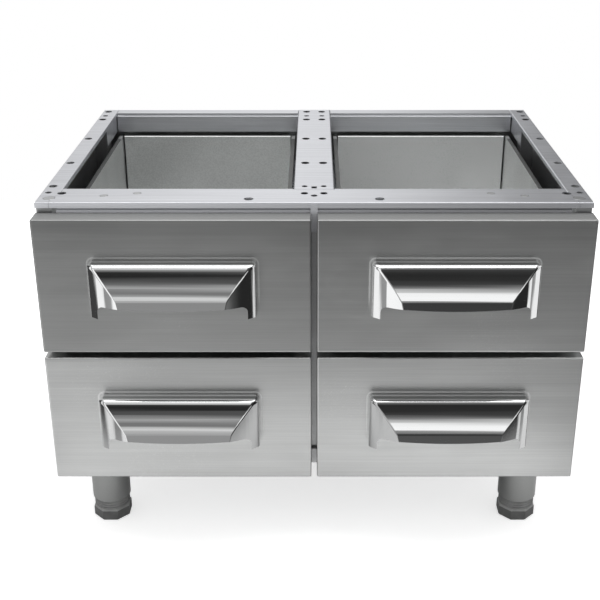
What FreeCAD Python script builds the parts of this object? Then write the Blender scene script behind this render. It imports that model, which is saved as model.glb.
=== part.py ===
import FreeCAD, Part
import os
import re
import Sketcher

# Outdoor kitchen drawer unit: a stainless steel base with four drawers.
# X points to the right, Y to the back and Z up. The origin is on the floor, under
# the centre of the whole unit, handles included. All sizes are millimetres.

SIZES = {
    # cabinet
    "cabinet_width": 800,
    "frame_depth": 565,
    "cabinet_height": 433,
    "leg_drop": 120,
    "frame_sheet": 1.5,
    "panel_sheet": 1.2,
    "frame_bend": 1.8,
    "seam_gap": 0.4,
    # top frame
    "front_rail_width": 66.6,
    "side_rail_width": 28.5,
    "centre_rail_width": 60,
    "back_rail_width": 28,
    "frame_lip": 8.3,
    "front_rail_inner_lip": 20,
    "front_stop_top": 11.8,
    "front_stop_drop": 25,
    "front_stop_depth": 4,
    "front_stop_half": 370,
    "side_rail_inner_lip": 6,
    "centre_rail_tuck": 4.5,
    "back_skirt_drop": 35,
    "back_step_drop": 5,
    "back_skirt_step": 0.6,
    "gusset_length": 105,
    "corner_wrap": 20.5,
    "corner_seam_depth": 20,
    "corner_seam_run": 22,
    # holes of the top frame
    "fixing_hole_radius": 6.5,
    "first_centre_hole_radius": 4.3,
    "front_centre_pair_radius": 5.4,
    "locating_hole_radius": 4.75,
    "appliance_hole_radius": 7,
    "plug_hole_radius": 6.2,
    "corner_plug_radius": 9,
    "plug_fit": 0.15,
    "plug_crown": 0.6,
    "plug_seat": 2,
    "side_row_inset": 10.2,
    "centre_row_offset": 14.2,
    "front_corner_hole_inset": 30.5,
    "front_row_depth": 43.7,
    "front_locating_depth": 47,
    "front_centre_hole_depth": 32.4,
    "first_row_depth": 78.1,
    "second_row_depth": 202.6,
    "third_row_depth": 352.2,
    "fourth_row_inset": 76.1,
    "back_locating_inset": 48.2,
    "back_row_inset": 15.7,
    "appliance_hole_offset": 94.5,
    "appliance_hole_depth": 17.1,
    "outer_plug_offset": 306,
    "outer_plug_depth": 32.4,
    "inner_plug_offset": 259,
    "inner_plug_depth": 44,
    "corner_plug_inset": 17,
    "corner_plug_depth": 21,
    "centre_notch_width": 8,
    "centre_notch_length": 9.5,
    "centre_notch_depth": 67.5,
    "centre_tab_width": 10.5,
    "centre_tab_height": 45,
    # sides, back, bottom and divider
    "side_flange": 22.75,
    "rear_flange": 20,
    "base_lip": 26,
    "divider_inset": 8,
    "post_width": 40,
    "rear_post_inset": 125,
    "post_top_gap": 3,
    "screw_radius": 2,
    "screw_fit": 0.15,
    "screw_head_radius": 4,
    "screw_head_height": 1.3,
    "screw_length": 7,
    "lowest_screw_rise": 13,
    "low_screw_rise": 100,
    "middle_screw_rise": 230,
    "high_screw_drop": 53,
    "back_screw_inset": 13,
    # drawer fronts
    "front_standoff": 34.4,
    "front_thickness": 32.8,
    "front_bend": 2.4,
    "front_top_drop": 14.6,
    "front_foot_drop": 4.1,
    "front_gap_side": 8.5,
    "front_gap_level": 8.9,
    "liner_depth": 14,
    # drawer trays and their slides
    "tray_back_gap": 6,
    "tray_drop": 27.3,
    "tray_rise": 36.6,
    "tray_sheet": 1.2,
    "tray_flange": 5.5,
    "tray_hem": 9,
    "tray_hem_bend": 2,
    "tray_slit_width": 2.5,
    "tray_slit_rise": 12,
    "runner_space": 13,
    "runner_drop": 60,
    "runner_height": 45,
    "runner_back_gap": 27,
    "runner_sheet": 1.5,
    "runner_clearance": 0.5,
    "runner_overlap": 10,
    "runner_setback": 1.3,
    # handles
    "handle_drop": 59.8,
    "handle_width": 239,
    "handle_height": 81,
    "handle_ledge": 20,
    "handle_side_ledge": 16,
    "handle_projection": 41,
    "handle_slope_drop": 49.7,
    "handle_lip_drop": 60,
    "handle_lip_width": 155,
    "handle_lip_bow": 3,
    "handle_leg_width": 12,
    "handle_arch_radius": 10,
    "handle_sheet": 1.5,
    "handle_top_bend": 6,
    "handle_lip_bend": 9,
    "handle_side_bend": 12,
    "handle_corner_bend": 4,
    "handle_flange": 13,
    "handle_flange_width": 200,
    "handle_nut_radius": 4.5,
    "handle_nut_height": 4.5,
    "handle_screw_spacing": 160,
    "handle_screw_radius": 2.45,
    "handle_screw_fit": 0.1,
    "handle_screw_head_radius": 4.5,
    "handle_screw_head_height": 2.6,
    # legs and feet
    "leg_inset_side": 65.9,
    "leg_inset_front": 44,
    "leg_inset_back": 60,
    "leg_radius": 30.5,
    "leg_wall": 1.9,
    "leg_clearance": 37.6,
    "leg_flange_half": 39,
    "leg_flange_sheet": 3,
    "leg_bolt_offset": 31,
    "leg_bolt_radius": 3,
    "leg_bolt_fit": 0.2,
    "leg_bolt_head_radius": 5.5,
    "leg_bolt_head_height": 4,
    "leg_nut_height": 5,
    "stem_fit": 0.1,
    "stem_height": 82,
    "stem_wall": 4,
    "stem_rib_depth": 1.2,
    "stem_rib_width": 2.2,
    "stem_pivot_radius": 8,
    "stem_pivot_fit": 0.06,
    "stem_pivot_length": 14,
    "cap_flats": 57.5,
    "cap_height": 22,
    "cap_top_chamfer": 4,
    "cap_foot_chamfer": 2.5,
}

# Places that follow from the sizes.
PLACES = {
    "half_width": "cabinet_width / 2",
    "back_y": "(frame_depth + front_standoff + handle_projection) / 2",
    "frame_y": "back_y - frame_depth",
    "face_y": "frame_y - front_standoff",
    "top_z": "leg_drop + cabinet_height",
    "plate_z": "top_z - frame_sheet",
    "base_z": "leg_drop",
    "base_top_z": "base_z + base_lip",
    "front_rail_half": "half_width - corner_wrap",
    "front_rail_back_y": "frame_y + front_rail_width",
    "side_rail_inner": "half_width - side_rail_width",
    "centre_rail_half": "centre_rail_width / 2",
    "centre_rail_y": "front_rail_back_y + seam_gap - centre_rail_tuck",
    "back_rail_y": "back_y - back_rail_width",
    "side_row": "half_width - side_row_inset",
    "fourth_row_depth": "frame_depth - fourth_row_inset",
    "back_locating_depth": "frame_depth - back_locating_inset",
    "back_row_depth": "frame_depth - back_row_inset",
    "panel_outer": "half_width - frame_sheet",
    "panel_inner": "panel_outer - panel_sheet",
    "panel_front_y": "frame_y + frame_sheet",
    "panel_back_y": "back_y - frame_sheet",
    "back_panel_y": "panel_back_y - panel_sheet",
    "rear_flange_y": "back_panel_y - panel_sheet",
    "high_screw_rise": "cabinet_height - high_screw_drop",
    "post_front_y": "panel_front_y + panel_sheet",
    "rear_post_y": "back_y - rear_post_inset",
    "divider_half": "centre_rail_half - frame_sheet",
    "divider_y": "frame_y + divider_inset",
    "column_x": "(cabinet_width + front_gap_side) / 4",
    "front_half": "(cabinet_width - front_gap_side) / 4",
    "front_height": "(cabinet_height + front_foot_drop - front_top_drop - front_gap_level) / 2",
    "upper_z": "top_z - front_top_drop",
    "lower_z": "upper_z - front_height - front_gap_level",
    "tray_half": "column_x - divider_half - runner_space",
    "tray_bottom": "front_height - tray_rise",
    "tray_end": "front_standoff + frame_depth - back_rail_width - tray_back_gap",
    "post_face": "column_x + tray_half + runner_space",
    "wall_half": "tray_half + runner_space",
    "runner_z": "-(tray_drop + runner_drop)",
    "runner_start": "front_standoff + frame_sheet + panel_sheet + runner_setback",
    "runner_end": "tray_end - runner_back_gap",
    "middle_height": "runner_height - 2 * runner_sheet - 2 * runner_clearance",
    "inner_height": "middle_height - 2 * runner_sheet - 2 * runner_clearance",
    "handle_half": "handle_width / 2",
    "handle_screw_level": "handle_flange / 2 + handle_sheet",
    "lip_half": "handle_lip_width / 2",
    "slope_angle": "atan(handle_slope_drop / (handle_projection - handle_ledge))",
    "cheek_angle": "atan((handle_half - lip_half) / (handle_projection - handle_side_ledge))",
    "bow_radius": "(lip_half * lip_half + handle_lip_bow * handle_lip_bow) / (2 * handle_lip_bow)",
    "leg_x": "half_width - leg_inset_side",
    "front_leg_y": "frame_y + leg_inset_front",
    "rear_leg_y": "back_y - leg_inset_back",
    "leg_top_z": "base_top_z - frame_sheet",
    "leg_bolt_hole": "leg_bolt_radius + leg_bolt_fit",
    "stem_radius": "leg_radius - leg_wall - stem_fit",
    "screw_hole": "screw_radius + screw_fit",
}

SKETCH_NORMAL = {"XY_Plane": 1, "YZ_Plane": 1, "XZ_Plane": -1}
LOOSE = 0.01

doc = FreeCAD.newDocument("drawer_unit")
dims = doc.addObject("Spreadsheet::Sheet", "dims")
for row, (alias, size) in enumerate(SIZES.items(), start=1):
    dims.set("A%d" % row, alias.replace("_", " "))
    dims.set("B%d" % row, str(size))
    dims.setAlias("B%d" % row, alias)
doc.recompute()

nodes = []


def formula(text):
    """Write a formula of named sizes as an expression on the sheet's cells."""
    def cell(match):
        name = match.group(0)
        if name in SIZES:
            return "dims." + name
        if name in PLACES:
            return "(" + formula(PLACES[name]) + ")"
        return name
    return re.sub(r"[a-z_]+", cell, text)


def bind(piece, **formulas):
    for name, text in formulas.items():
        piece.setExpression(name, formula(text))


def move(piece, x="0", y="0", z="0"):
    for axis, text in (("x", x), ("y", y), ("z", z)):
        piece.setExpression("Placement.Base." + axis, formula(text))
    return piece


def keep(piece, label):
    """Name a finished piece, so that it is checked and written at the end."""
    piece.Label = label
    nodes.append(piece)
    return piece


def new_body(name):
    return doc.addObject("PartDesign::Body", name)


def sketch_on(body, plane, level):
    sketch = body.newObject("Sketcher::SketchObject", body.Name + "_sketch")
    origin_plane = next(item for item in body.Origin.OriginFeatures if item.Role == plane)
    sketch.AttachmentSupport = (origin_plane, "")
    sketch.MapMode = "FlatFace"
    sketch.setExpression("AttachmentOffset.Base.z", formula(level))
    return sketch


def locate(sketch, geometry, point, place):
    for kind, text in zip(("DistanceX", "DistanceY"), place):
        index = sketch.addConstraint(Sketcher.Constraint(kind, -1, 1, geometry, point, 1.0))
        sketch.setExpression("Constraints[%d]" % index, formula(text))


def draw_outline(sketch, corners):
    """A closed outline of straight lines, each corner placed by two formulas."""
    first = sketch.GeometryCount
    count = len(corners)
    turn = FreeCAD.Rotation(FreeCAD.Vector(0, 0, 1), 360.0 / count)
    point = FreeCAD.Vector(100, 0, 0)
    for _ in corners:
        following = turn.multVec(point)
        sketch.addGeometry(Part.LineSegment(point, following))
        point = following
    for index, place in enumerate(corners):
        line = first + index
        sketch.addConstraint(Sketcher.Constraint("Coincident", line, 2, first + (index + 1) % count, 1))
        locate(sketch, line, 1, place)


def draw_circle(sketch, place, radius):
    index = sketch.addGeometry(Part.Circle(FreeCAD.Vector(), FreeCAD.Vector(0, 0, 1), 1.0))
    locate(sketch, index, 3, place)
    rule = sketch.addConstraint(Sketcher.Constraint("Radius", index, 1.0))
    sketch.setExpression("Constraints[%d]" % rule, formula(radius))


def rectangle(low_u, high_u, low_v, high_v):
    return [(low_u, low_v), (high_u, low_v), (high_u, high_v), (low_u, high_v)]


def draw(sketch, outlines, circles):
    for corners in outlines:
        draw_outline(sketch, corners)
    for place, radius in circles:
        draw_circle(sketch, place, radius)


def pad(body, plane, low, high, outlines=(), circles=()):
    """Add material between two levels along the plane's axis."""
    start = low if SKETCH_NORMAL[plane] > 0 else "-(%s)" % high
    sketch = sketch_on(body, plane, start)
    draw(sketch, outlines, circles)
    feature = body.newObject("PartDesign::Pad", body.Name + "_pad")
    feature.Profile = sketch
    bind(feature, Length="(%s) - (%s)" % (high, low))
    return feature


def pocket(body, plane, low, high, outlines=(), circles=()):
    """Take material away between two levels, and check that some has gone."""
    doc.recompute()
    before = body.Shape.Volume
    start = high if SKETCH_NORMAL[plane] > 0 else "-(%s)" % low
    sketch = sketch_on(body, plane, start)
    draw(sketch, outlines, circles)
    feature = body.newObject("PartDesign::Pocket", body.Name + "_pocket")
    feature.Profile = sketch
    bind(feature, Length="(%s) - (%s)" % (high, low))
    doc.recompute()
    if body.Shape.Volume >= before:
        raise ValueError("a pocket of %s cuts nothing" % body.Name)
    return feature


def straight_edges(shape, axis, **sides):
    """Edges along an axis that lie at the named sides of the shape's box."""
    box = shape.BoundBox
    limits = {"x_low": box.XMin, "x_high": box.XMax, "y_low": box.YMin, "y_high": box.YMax,
              "z_low": box.ZMin, "z_high": box.ZMax}
    direction = FreeCAD.Vector(*[float(letter == axis) for letter in "xyz"])
    found = []
    for index, edge in enumerate(shape.Edges, start=1):
        if edge.Curve.TypeId != "Part::GeomLine":
            continue
        if abs(edge.Curve.Direction.dot(direction)) < 1 - LOOSE:
            continue
        middle = edge.CenterOfMass
        if all(abs(getattr(middle, side[0]) - limits[side]) < LOOSE for side in sides):
            found.append("Edge%d" % index)
    return found


def fillet(body, radius, *choices):
    """Round the straight edges that each choice, an axis and its sides, picks."""
    doc.recompute()
    base = body.Tip
    edges = []
    for axis, sides in choices:
        edges += straight_edges(base.Shape, axis, **dict.fromkeys(sides))
    feature = body.newObject("PartDesign::Fillet", body.Name + "_fillet")
    feature.Base = (base, sorted(set(edges)))
    bind(feature, Radius=radius)
    return feature


def box(name, x, y, z):
    """A block between two formulas along each axis."""
    piece = doc.addObject("Part::Box", name)
    for side, (low, high) in zip(("Length", "Width", "Height"), (x, y, z)):
        piece.setExpression(side, formula("(%s) - (%s)" % (high, low)))
    return move(piece, x[0], y[0], z[0])


def cylinder(name, radius, length, x="0", y="0", z="0", along="z"):
    piece = doc.addObject("Part::Cylinder", name)
    bind(piece, Radius=radius, Height=length)
    turns = {
        "x": (FreeCAD.Vector(0, 1, 0), 90),
        "y": (FreeCAD.Vector(1, 0, 0), -90),
        "z": (FreeCAD.Vector(0, 0, 1), 0),
    }
    piece.Placement.Rotation = FreeCAD.Rotation(*turns[along])
    return move(piece, x, y, z)


def cone(name, low_radius, high_radius, length, x="0", y="0", z="0"):
    piece = doc.addObject("Part::Cone", name)
    bind(piece, Radius1=low_radius, Radius2=high_radius, Height=length)
    return move(piece, x, y, z)


def hexagon(name, radius, length, x="0", y="0", z="0"):
    piece = doc.addObject("Part::Prism", name)
    piece.Polygon = 6
    bind(piece, Circumradius=radius, Height=length)
    return move(piece, x, y, z)


def cut(name, base, tool):
    piece = doc.addObject("Part::Cut", name)
    piece.Base = base
    piece.Tool = tool
    return piece


def fuse(name, *pieces):
    piece = doc.addObject("Part::MultiFuse", name)
    piece.Shapes = list(pieces)
    return piece


def common(name, *pieces):
    piece = doc.addObject("Part::MultiCommon", name)
    piece.Shapes = list(pieces)
    return piece


def group(name, *pieces):
    """Separate solids that share one node."""
    piece = doc.addObject("Part::Compound", name)
    piece.Links = list(pieces)
    return piece


def mirrored(name, piece):
    """The same piece for the other side of the unit."""
    twin = doc.addObject("Part::Mirroring", name)
    twin.Source = piece
    twin.Normal = FreeCAD.Vector(1, 0, 0)
    return twin


def placed(name, piece, x="0", y="0", z="0"):
    return move(group(name, piece), x, y, z)


# Top frame: folded rails that meet flush.

def at_depth(depth):
    return "frame_y + " + depth


def both_sides(x, depth, radius):
    return [((x, at_depth(depth)), radius), (("-(%s)" % x, at_depth(depth)), radius)]


ROWS = ("first_row_depth", "second_row_depth", "third_row_depth", "fourth_row_depth", "back_row_depth")


def make_front_rail():
    rail = new_body("front_rail")
    profile = [
        ("frame_y", "top_z - frame_lip"), ("frame_y", "top_z"), ("front_rail_back_y", "top_z"),
        ("front_rail_back_y", "top_z - front_rail_inner_lip"),
        ("front_rail_back_y - frame_sheet", "top_z - front_rail_inner_lip"),
        ("front_rail_back_y - frame_sheet", "plate_z"), ("frame_y + frame_sheet", "plate_z"),
        ("frame_y + frame_sheet", "top_z - frame_lip"),
    ]
    pad(rail, "YZ_Plane", "-(front_rail_half)", "front_rail_half", [profile])
    fillet(rail, "frame_bend", ("x", ("y_low", "z_high")), ("x", ("y_high", "z_high")))
    stop_y = "frame_y + frame_sheet"
    web_y = stop_y + " + front_stop_depth"
    stop_z = "top_z - front_stop_drop"
    stop = [
        (stop_y, "top_z - front_stop_top"), (stop_y, stop_z), (web_y + " + panel_sheet", stop_z),
        (web_y + " + panel_sheet", "plate_z"), (web_y, "plate_z"), (web_y, stop_z + " + panel_sheet"),
        (stop_y + " + panel_sheet", stop_z + " + panel_sheet"),
        (stop_y + " + panel_sheet", "top_z - front_stop_top"),
    ]
    pad(rail, "YZ_Plane", "-front_stop_half", "front_stop_half", [stop])
    clear = "centre_rail_half + seam_gap"
    pocket(rail, "XY_Plane", "top_z - front_rail_inner_lip - 1", "top_z + 1",
           [rectangle("-(%s)" % clear, clear, "centre_rail_y - seam_gap", "front_rail_back_y + 1")])
    holes = both_sides("half_width - front_corner_hole_inset", "front_row_depth", "fixing_hole_radius")
    holes += both_sides("centre_row_offset", "front_row_depth", "front_centre_pair_radius")
    holes += both_sides("appliance_hole_offset", "appliance_hole_depth", "appliance_hole_radius")
    holes += both_sides("outer_plug_offset", "outer_plug_depth", "plug_hole_radius")
    holes += both_sides("inner_plug_offset", "inner_plug_depth", "plug_hole_radius")
    holes += both_sides("half_width - corner_plug_inset", "corner_plug_depth", "corner_plug_radius")
    holes.append((("0", at_depth("front_centre_hole_depth")), "locating_hole_radius"))
    pocket(rail, "XY_Plane", "plate_z - 1", "top_z + 1", circles=holes)
    for side in ("", "-"):
        beyond = [("%s(front_rail_half)" % side, at_depth("corner_seam_depth")),
                  ("%s(side_rail_inner)" % side, at_depth("corner_seam_depth + corner_seam_run")),
                  ("%s(side_rail_inner)" % side, "front_rail_back_y + 1"),
                  ("%s(half_width)" % side, "front_rail_back_y + 1"),
                  ("%s(half_width)" % side, at_depth("corner_seam_depth"))]
        pocket(rail, "XY_Plane", "top_z - front_rail_inner_lip - 1", "top_z + 1", [beyond])
    return keep(rail, "top_front_rail")


def make_side_rail():
    rail = new_body("side_rail")
    inner = "-(side_rail_inner)"
    wrap = "-(front_rail_half) - seam_gap"
    seam = inner + " - seam_gap"
    outline = [
        ("-(half_width)", "frame_y"), (wrap, "frame_y"), (wrap, at_depth("corner_seam_depth")),
        (seam, at_depth("corner_seam_depth + corner_seam_run")), (seam, "front_rail_back_y + seam_gap"),
        (inner, "front_rail_back_y + seam_gap"), (inner, "back_y"), ("-(half_width)", "back_y"),
    ]
    pad(rail, "XY_Plane", "top_z - frame_lip", "top_z", [outline])
    fillet(rail, "frame_bend", ("y", ("x_low", "z_high")), ("x", ("y_low", "z_high")),
           ("x", ("y_high", "z_high")), ("y", ("x_high", "z_high")))
    hollow = [
        ("-(panel_outer)", "panel_front_y"), (inner + " + 1", "panel_front_y"),
        (inner + " + 1", "front_rail_back_y + seam_gap"),
        (inner + " - frame_sheet", "front_rail_back_y + seam_gap"),
        (inner + " - frame_sheet", "back_rail_y"), (inner + " + 1", "back_rail_y"),
        (inner + " + 1", "panel_back_y"), ("-(panel_outer)", "panel_back_y"),
    ]
    pocket(rail, "XY_Plane", "top_z - frame_lip - 1", "plate_z", [hollow])
    pocket(rail, "XY_Plane", "top_z - frame_lip - 1", "top_z - side_rail_inner_lip",
           [rectangle(inner + " - frame_sheet - seam_gap", inner + " + 1", "panel_front_y",
                      "back_rail_y")])
    gusset = rectangle(inner + " - frame_sheet - panel_sheet", inner + " - frame_sheet",
                       "back_rail_y - gusset_length", "back_rail_y")
    pad(rail, "XY_Plane", "top_z - back_skirt_drop", "plate_z", [gusset])
    holes = [(("-(side_row)", at_depth(depth)), "fixing_hole_radius") for depth in ROWS]
    holes += [(("-(side_row)", at_depth(depth)), "locating_hole_radius")
              for depth in ("front_locating_depth", "back_locating_depth")]
    holes.append((("-(half_width) + corner_plug_inset", at_depth("corner_plug_depth")),
                  "corner_plug_radius"))
    pocket(rail, "XY_Plane", "plate_z - 1", "top_z + 1", circles=holes)
    shared = (("-(half_width) + front_corner_hole_inset", at_depth("front_row_depth")), "fixing_hole_radius")
    pocket(rail, "XY_Plane", "plate_z - 1", "top_z + 1", circles=[shared])
    keep(rail, "top_left_rail")
    return keep(mirrored("right_rail", rail), "top_right_rail")


def make_back_rail():
    rail = new_body("back_rail")
    skirt_y = "back_rail_y - back_skirt_step"
    step_z = "top_z - back_step_drop - back_skirt_step"
    profile = [
        ("back_y", "top_z - frame_lip"), ("back_y", "top_z"), ("back_rail_y", "top_z"),
        ("back_rail_y", "top_z - back_step_drop"), (skirt_y, step_z), (skirt_y, "top_z - back_skirt_drop"),
        (skirt_y + " + frame_sheet", "top_z - back_skirt_drop"), (skirt_y + " + frame_sheet", step_z),
        ("back_rail_y + frame_sheet", "top_z - back_step_drop"), ("back_rail_y + frame_sheet", "plate_z"),
        ("panel_back_y", "plate_z"), ("panel_back_y", "top_z - frame_lip"),
    ]
    end = "side_rail_inner - seam_gap"
    pad(rail, "YZ_Plane", "-(%s)" % end, end, [profile])
    fillet(rail, "frame_bend", ("x", ("y_low", "z_high")), ("x", ("y_high", "z_high")))
    clear = "centre_rail_half + seam_gap"
    before = skirt_y + " - 1"
    pocket(rail, "XY_Plane", "plate_z", "top_z + 1",
           [rectangle("-(%s)" % clear, clear, before, "back_y + 1")])
    pocket(rail, "XY_Plane", "top_z - back_skirt_drop - 1", "plate_z",
           [rectangle("-(%s)" % clear, clear, before, "panel_back_y - panel_sheet")])
    return keep(rail, "top_back_rail")


def make_centre_rail():
    rail = new_body("centre_rail")
    start = "centre_rail_y"
    pad(rail, "XY_Plane", "top_z - frame_lip", "top_z",
        [rectangle("-(centre_rail_half)", "centre_rail_half", start, "back_y")])
    fillet(rail, "frame_bend", ("y", ("x_low", "z_high")), ("y", ("x_high", "z_high")))
    hollow = [
        ("-(divider_half)", start + " - 1"), ("divider_half", start + " - 1"),
        ("divider_half", "back_rail_y"),
        ("centre_rail_half + 1", "back_rail_y"), ("centre_rail_half + 1", "back_y + 1"),
        ("-(centre_rail_half) - 1", "back_y + 1"), ("-(centre_rail_half) - 1", "back_rail_y"),
        ("-(divider_half)", "back_rail_y"),
    ]
    pocket(rail, "XY_Plane", "top_z - frame_lip - 1", "plate_z", [hollow])
    holes = both_sides("centre_row_offset", ROWS[0], "first_centre_hole_radius")
    for depth in ROWS[1:]:
        holes += both_sides("centre_row_offset", depth, "fixing_hole_radius")
    holes += both_sides("centre_row_offset", "back_locating_depth", "locating_hole_radius")
    pocket(rail, "XY_Plane", "plate_z - 1", "top_z + 1", circles=holes)
    notch = rectangle("-centre_notch_width / 2", "centre_notch_width / 2", at_depth("centre_notch_depth"),
                      at_depth("centre_notch_depth + centre_notch_length"))
    pocket(rail, "XY_Plane", "plate_z - 1", "top_z + 1", [notch])
    return keep(rail, "top_centre_rail")


def make_centre_tab():
    """A strip over the front lip, folded back to the divider at its lower end."""
    tab = new_body("tab")
    low = "top_z - centre_tab_height"
    profile = [
        ("frame_y - panel_sheet", "top_z - frame_bend"), ("frame_y - panel_sheet", low), ("divider_y", low),
        ("divider_y", low + " + panel_sheet"), ("frame_y", low + " + panel_sheet"),
        ("frame_y", "top_z - frame_bend"),
    ]
    pad(tab, "YZ_Plane", "-centre_tab_width / 2", "centre_tab_width / 2", [profile])
    fillet(tab, "panel_sheet", ("x", ("y_low", "z_low")))
    return keep(tab, "centre_tab")


def make_frame_plugs():
    """Flush plugs with a chamfered crown, each with a wider seat under its rail."""
    seat = "plate_z - panel_sheet"
    crown_z = "top_z - plug_crown"
    plugs = []
    spots = (("outer_plug_offset", "outer_plug_depth", "plug_hole_radius"),
             ("inner_plug_offset", "inner_plug_depth", "plug_hole_radius"),
             ("half_width - corner_plug_inset", "corner_plug_depth", "corner_plug_radius"))
    for x, depth, hole in spots:
        y = at_depth(depth)
        radius = hole + " - plug_fit"
        stud = cylinder("plug", radius, "(%s) - (%s)" % (crown_z, seat), x, y, seat)
        flange = cylinder("plug_seat", hole + " + plug_seat", "panel_sheet", x, y, seat)
        crown = cone("plug_crown", radius, radius + " - plug_crown", "plug_crown", x, y, crown_z)
        plug = fuse("frame_plug", stud, flange, crown)
        plugs += [plug, mirrored("frame_plug_twin", plug)]
    return keep(group("plugs", *plugs), "frame_plugs")


# Sides, back, bottom, divider and posts.

SIDE_RISES = ("lowest_screw_rise", "low_screw_rise", "middle_screw_rise", "high_screw_rise")
BACK_RISES = ("low_screw_rise", "middle_screw_rise", "high_screw_rise")
POST_MIDDLES = ("post_front_y + post_width / 2", "rear_post_y + post_width / 2")


def make_side_panel():
    panel = new_body("side_sheet")
    edge = "-(panel_outer)"
    wall = "-(panel_inner)"
    flange = "-(panel_outer) + side_flange"
    profile = [
        (flange, "panel_front_y"), (edge, "panel_front_y"), (edge, "back_panel_y"),
        (wall + " + rear_flange", "back_panel_y"), (wall + " + rear_flange", "rear_flange_y"),
        (wall, "rear_flange_y"), (wall, "post_front_y"), (flange, "post_front_y"),
    ]
    pad(panel, "XY_Plane", "base_z", "plate_z", [profile])
    fillet(panel, "frame_bend", ("z", ("x_low", "y_low")))
    holes = [((y, "base_z + " + rise), "screw_hole") for y in POST_MIDDLES for rise in SIDE_RISES]
    pocket(panel, "YZ_Plane", edge + " - 1", wall + " + 1", circles=holes)
    back_holes = [(("-(half_width) + back_screw_inset", "base_z + " + rise), "screw_hole")
                  for rise in BACK_RISES]
    pocket(panel, "XZ_Plane", "rear_flange_y - 1", "back_panel_y + 1", circles=back_holes)
    keep(panel, "side_panel_left")
    return keep(mirrored("side_sheet_twin", panel), "side_panel_right")


def make_back_panel():
    panel = new_body("back_sheet")
    pad(panel, "XZ_Plane", "back_panel_y", "panel_back_y",
        [rectangle("-(panel_outer)", "panel_outer", "base_z", "plate_z")])
    holes = []
    for rise in BACK_RISES:
        for side in ("-(half_width) + back_screw_inset", "half_width - back_screw_inset"):
            holes.append(((side, "base_z + " + rise), "screw_hole"))
    pocket(panel, "XZ_Plane", "back_panel_y - 1", "panel_back_y + 1", circles=holes)
    return keep(panel, "back_panel")


def leg_places():
    places = []
    for x in ("-(leg_x)", "leg_x"):
        for y in ("front_leg_y", "rear_leg_y"):
            places.append((x, y))
    return places


def bolt_places(x, y):
    return [(x + side, y + end) for side in (" - leg_bolt_offset", " + leg_bolt_offset")
            for end in (" - leg_bolt_offset", " + leg_bolt_offset")]


def make_bottom_panel():
    pan = new_body("bottom_pan")
    between = "panel_outer - side_flange - seam_gap"
    outline = [
        ("-(panel_inner)", "post_front_y"), ("-(%s)" % between, "post_front_y"),
        ("-(%s)" % between, "panel_front_y"), (between, "panel_front_y"), (between, "post_front_y"),
        ("panel_inner", "post_front_y"), ("panel_inner", "rear_flange_y"),
        ("-(panel_inner)", "rear_flange_y"),
    ]
    pad(pan, "XY_Plane", "base_z", "base_top_z", [outline])
    fillet(pan, "frame_bend", ("x", ("y_low", "z_high")))
    inner_side = "panel_inner - frame_sheet"
    pocket(pan, "XY_Plane", "base_z - 1", "leg_top_z",
           [rectangle("-(%s)" % inner_side, inner_side, "post_front_y + frame_sheet",
                      "rear_flange_y - frame_sheet")])
    bolt_holes = []
    for x, y in leg_places():
        bolt_holes += [(place, "leg_bolt_hole") for place in bolt_places(x, y)]
    pocket(pan, "XY_Plane", "leg_top_z - 1", "base_top_z + 1", circles=bolt_holes)
    side_holes = [((y, "base_z + lowest_screw_rise"), "screw_hole") for y in POST_MIDDLES]
    pocket(pan, "YZ_Plane", "-(panel_inner) - 1", "-(%s) + 1" % inner_side, circles=side_holes)
    pocket(pan, "YZ_Plane", inner_side + " - 1", "panel_inner + 1", circles=side_holes)
    return keep(pan, "bottom_panel")


def make_divider():
    sheet = new_body("divider")
    wall = "divider_half - panel_sheet"
    profile = [
        ("-(divider_half)", "divider_y"), ("divider_half", "divider_y"), ("divider_half", "back_panel_y"),
        (wall, "back_panel_y"), (wall, "divider_y + panel_sheet"),
        ("-(%s)" % wall, "divider_y + panel_sheet"),
        ("-(%s)" % wall, "back_panel_y"), ("-(divider_half)", "back_panel_y"),
    ]
    pad(sheet, "XY_Plane", "base_top_z", "plate_z", [profile])
    fillet(sheet, "frame_bend", ("z", ("x_low", "y_low")), ("z", ("x_high", "y_low")))
    return keep(sheet, "centre_divider")


def make_posts():
    """Box section posts between the side sheets and the outer runners."""
    posts = []
    for name, start in (("front_post", "post_front_y"), ("rear_post", "rear_post_y")):
        post = new_body(name)
        end = start + " + post_width"
        pad(post, "XY_Plane", "base_top_z", "plate_z - post_top_gap",
            [rectangle("-(panel_inner)", "-(post_face)", start, end)])
        pocket(post, "XY_Plane", "base_top_z - 1", "plate_z + 1",
               [rectangle("-(panel_inner) + frame_sheet", "-(post_face) - frame_sheet",
                          start + " + frame_sheet", end + " - frame_sheet")])
        holes = [((start + " + post_width / 2", "base_z + " + rise), "screw_hole")
                 for rise in SIDE_RISES[1:]]
        pocket(post, "YZ_Plane", "-(panel_inner) - 1", "-(panel_inner) + frame_sheet + 1", circles=holes)
        posts.append(post)
    left = keep(group("posts", *posts), "runner_posts_left")
    return keep(mirrored("posts_twin", left), "runner_posts_right")


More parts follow.
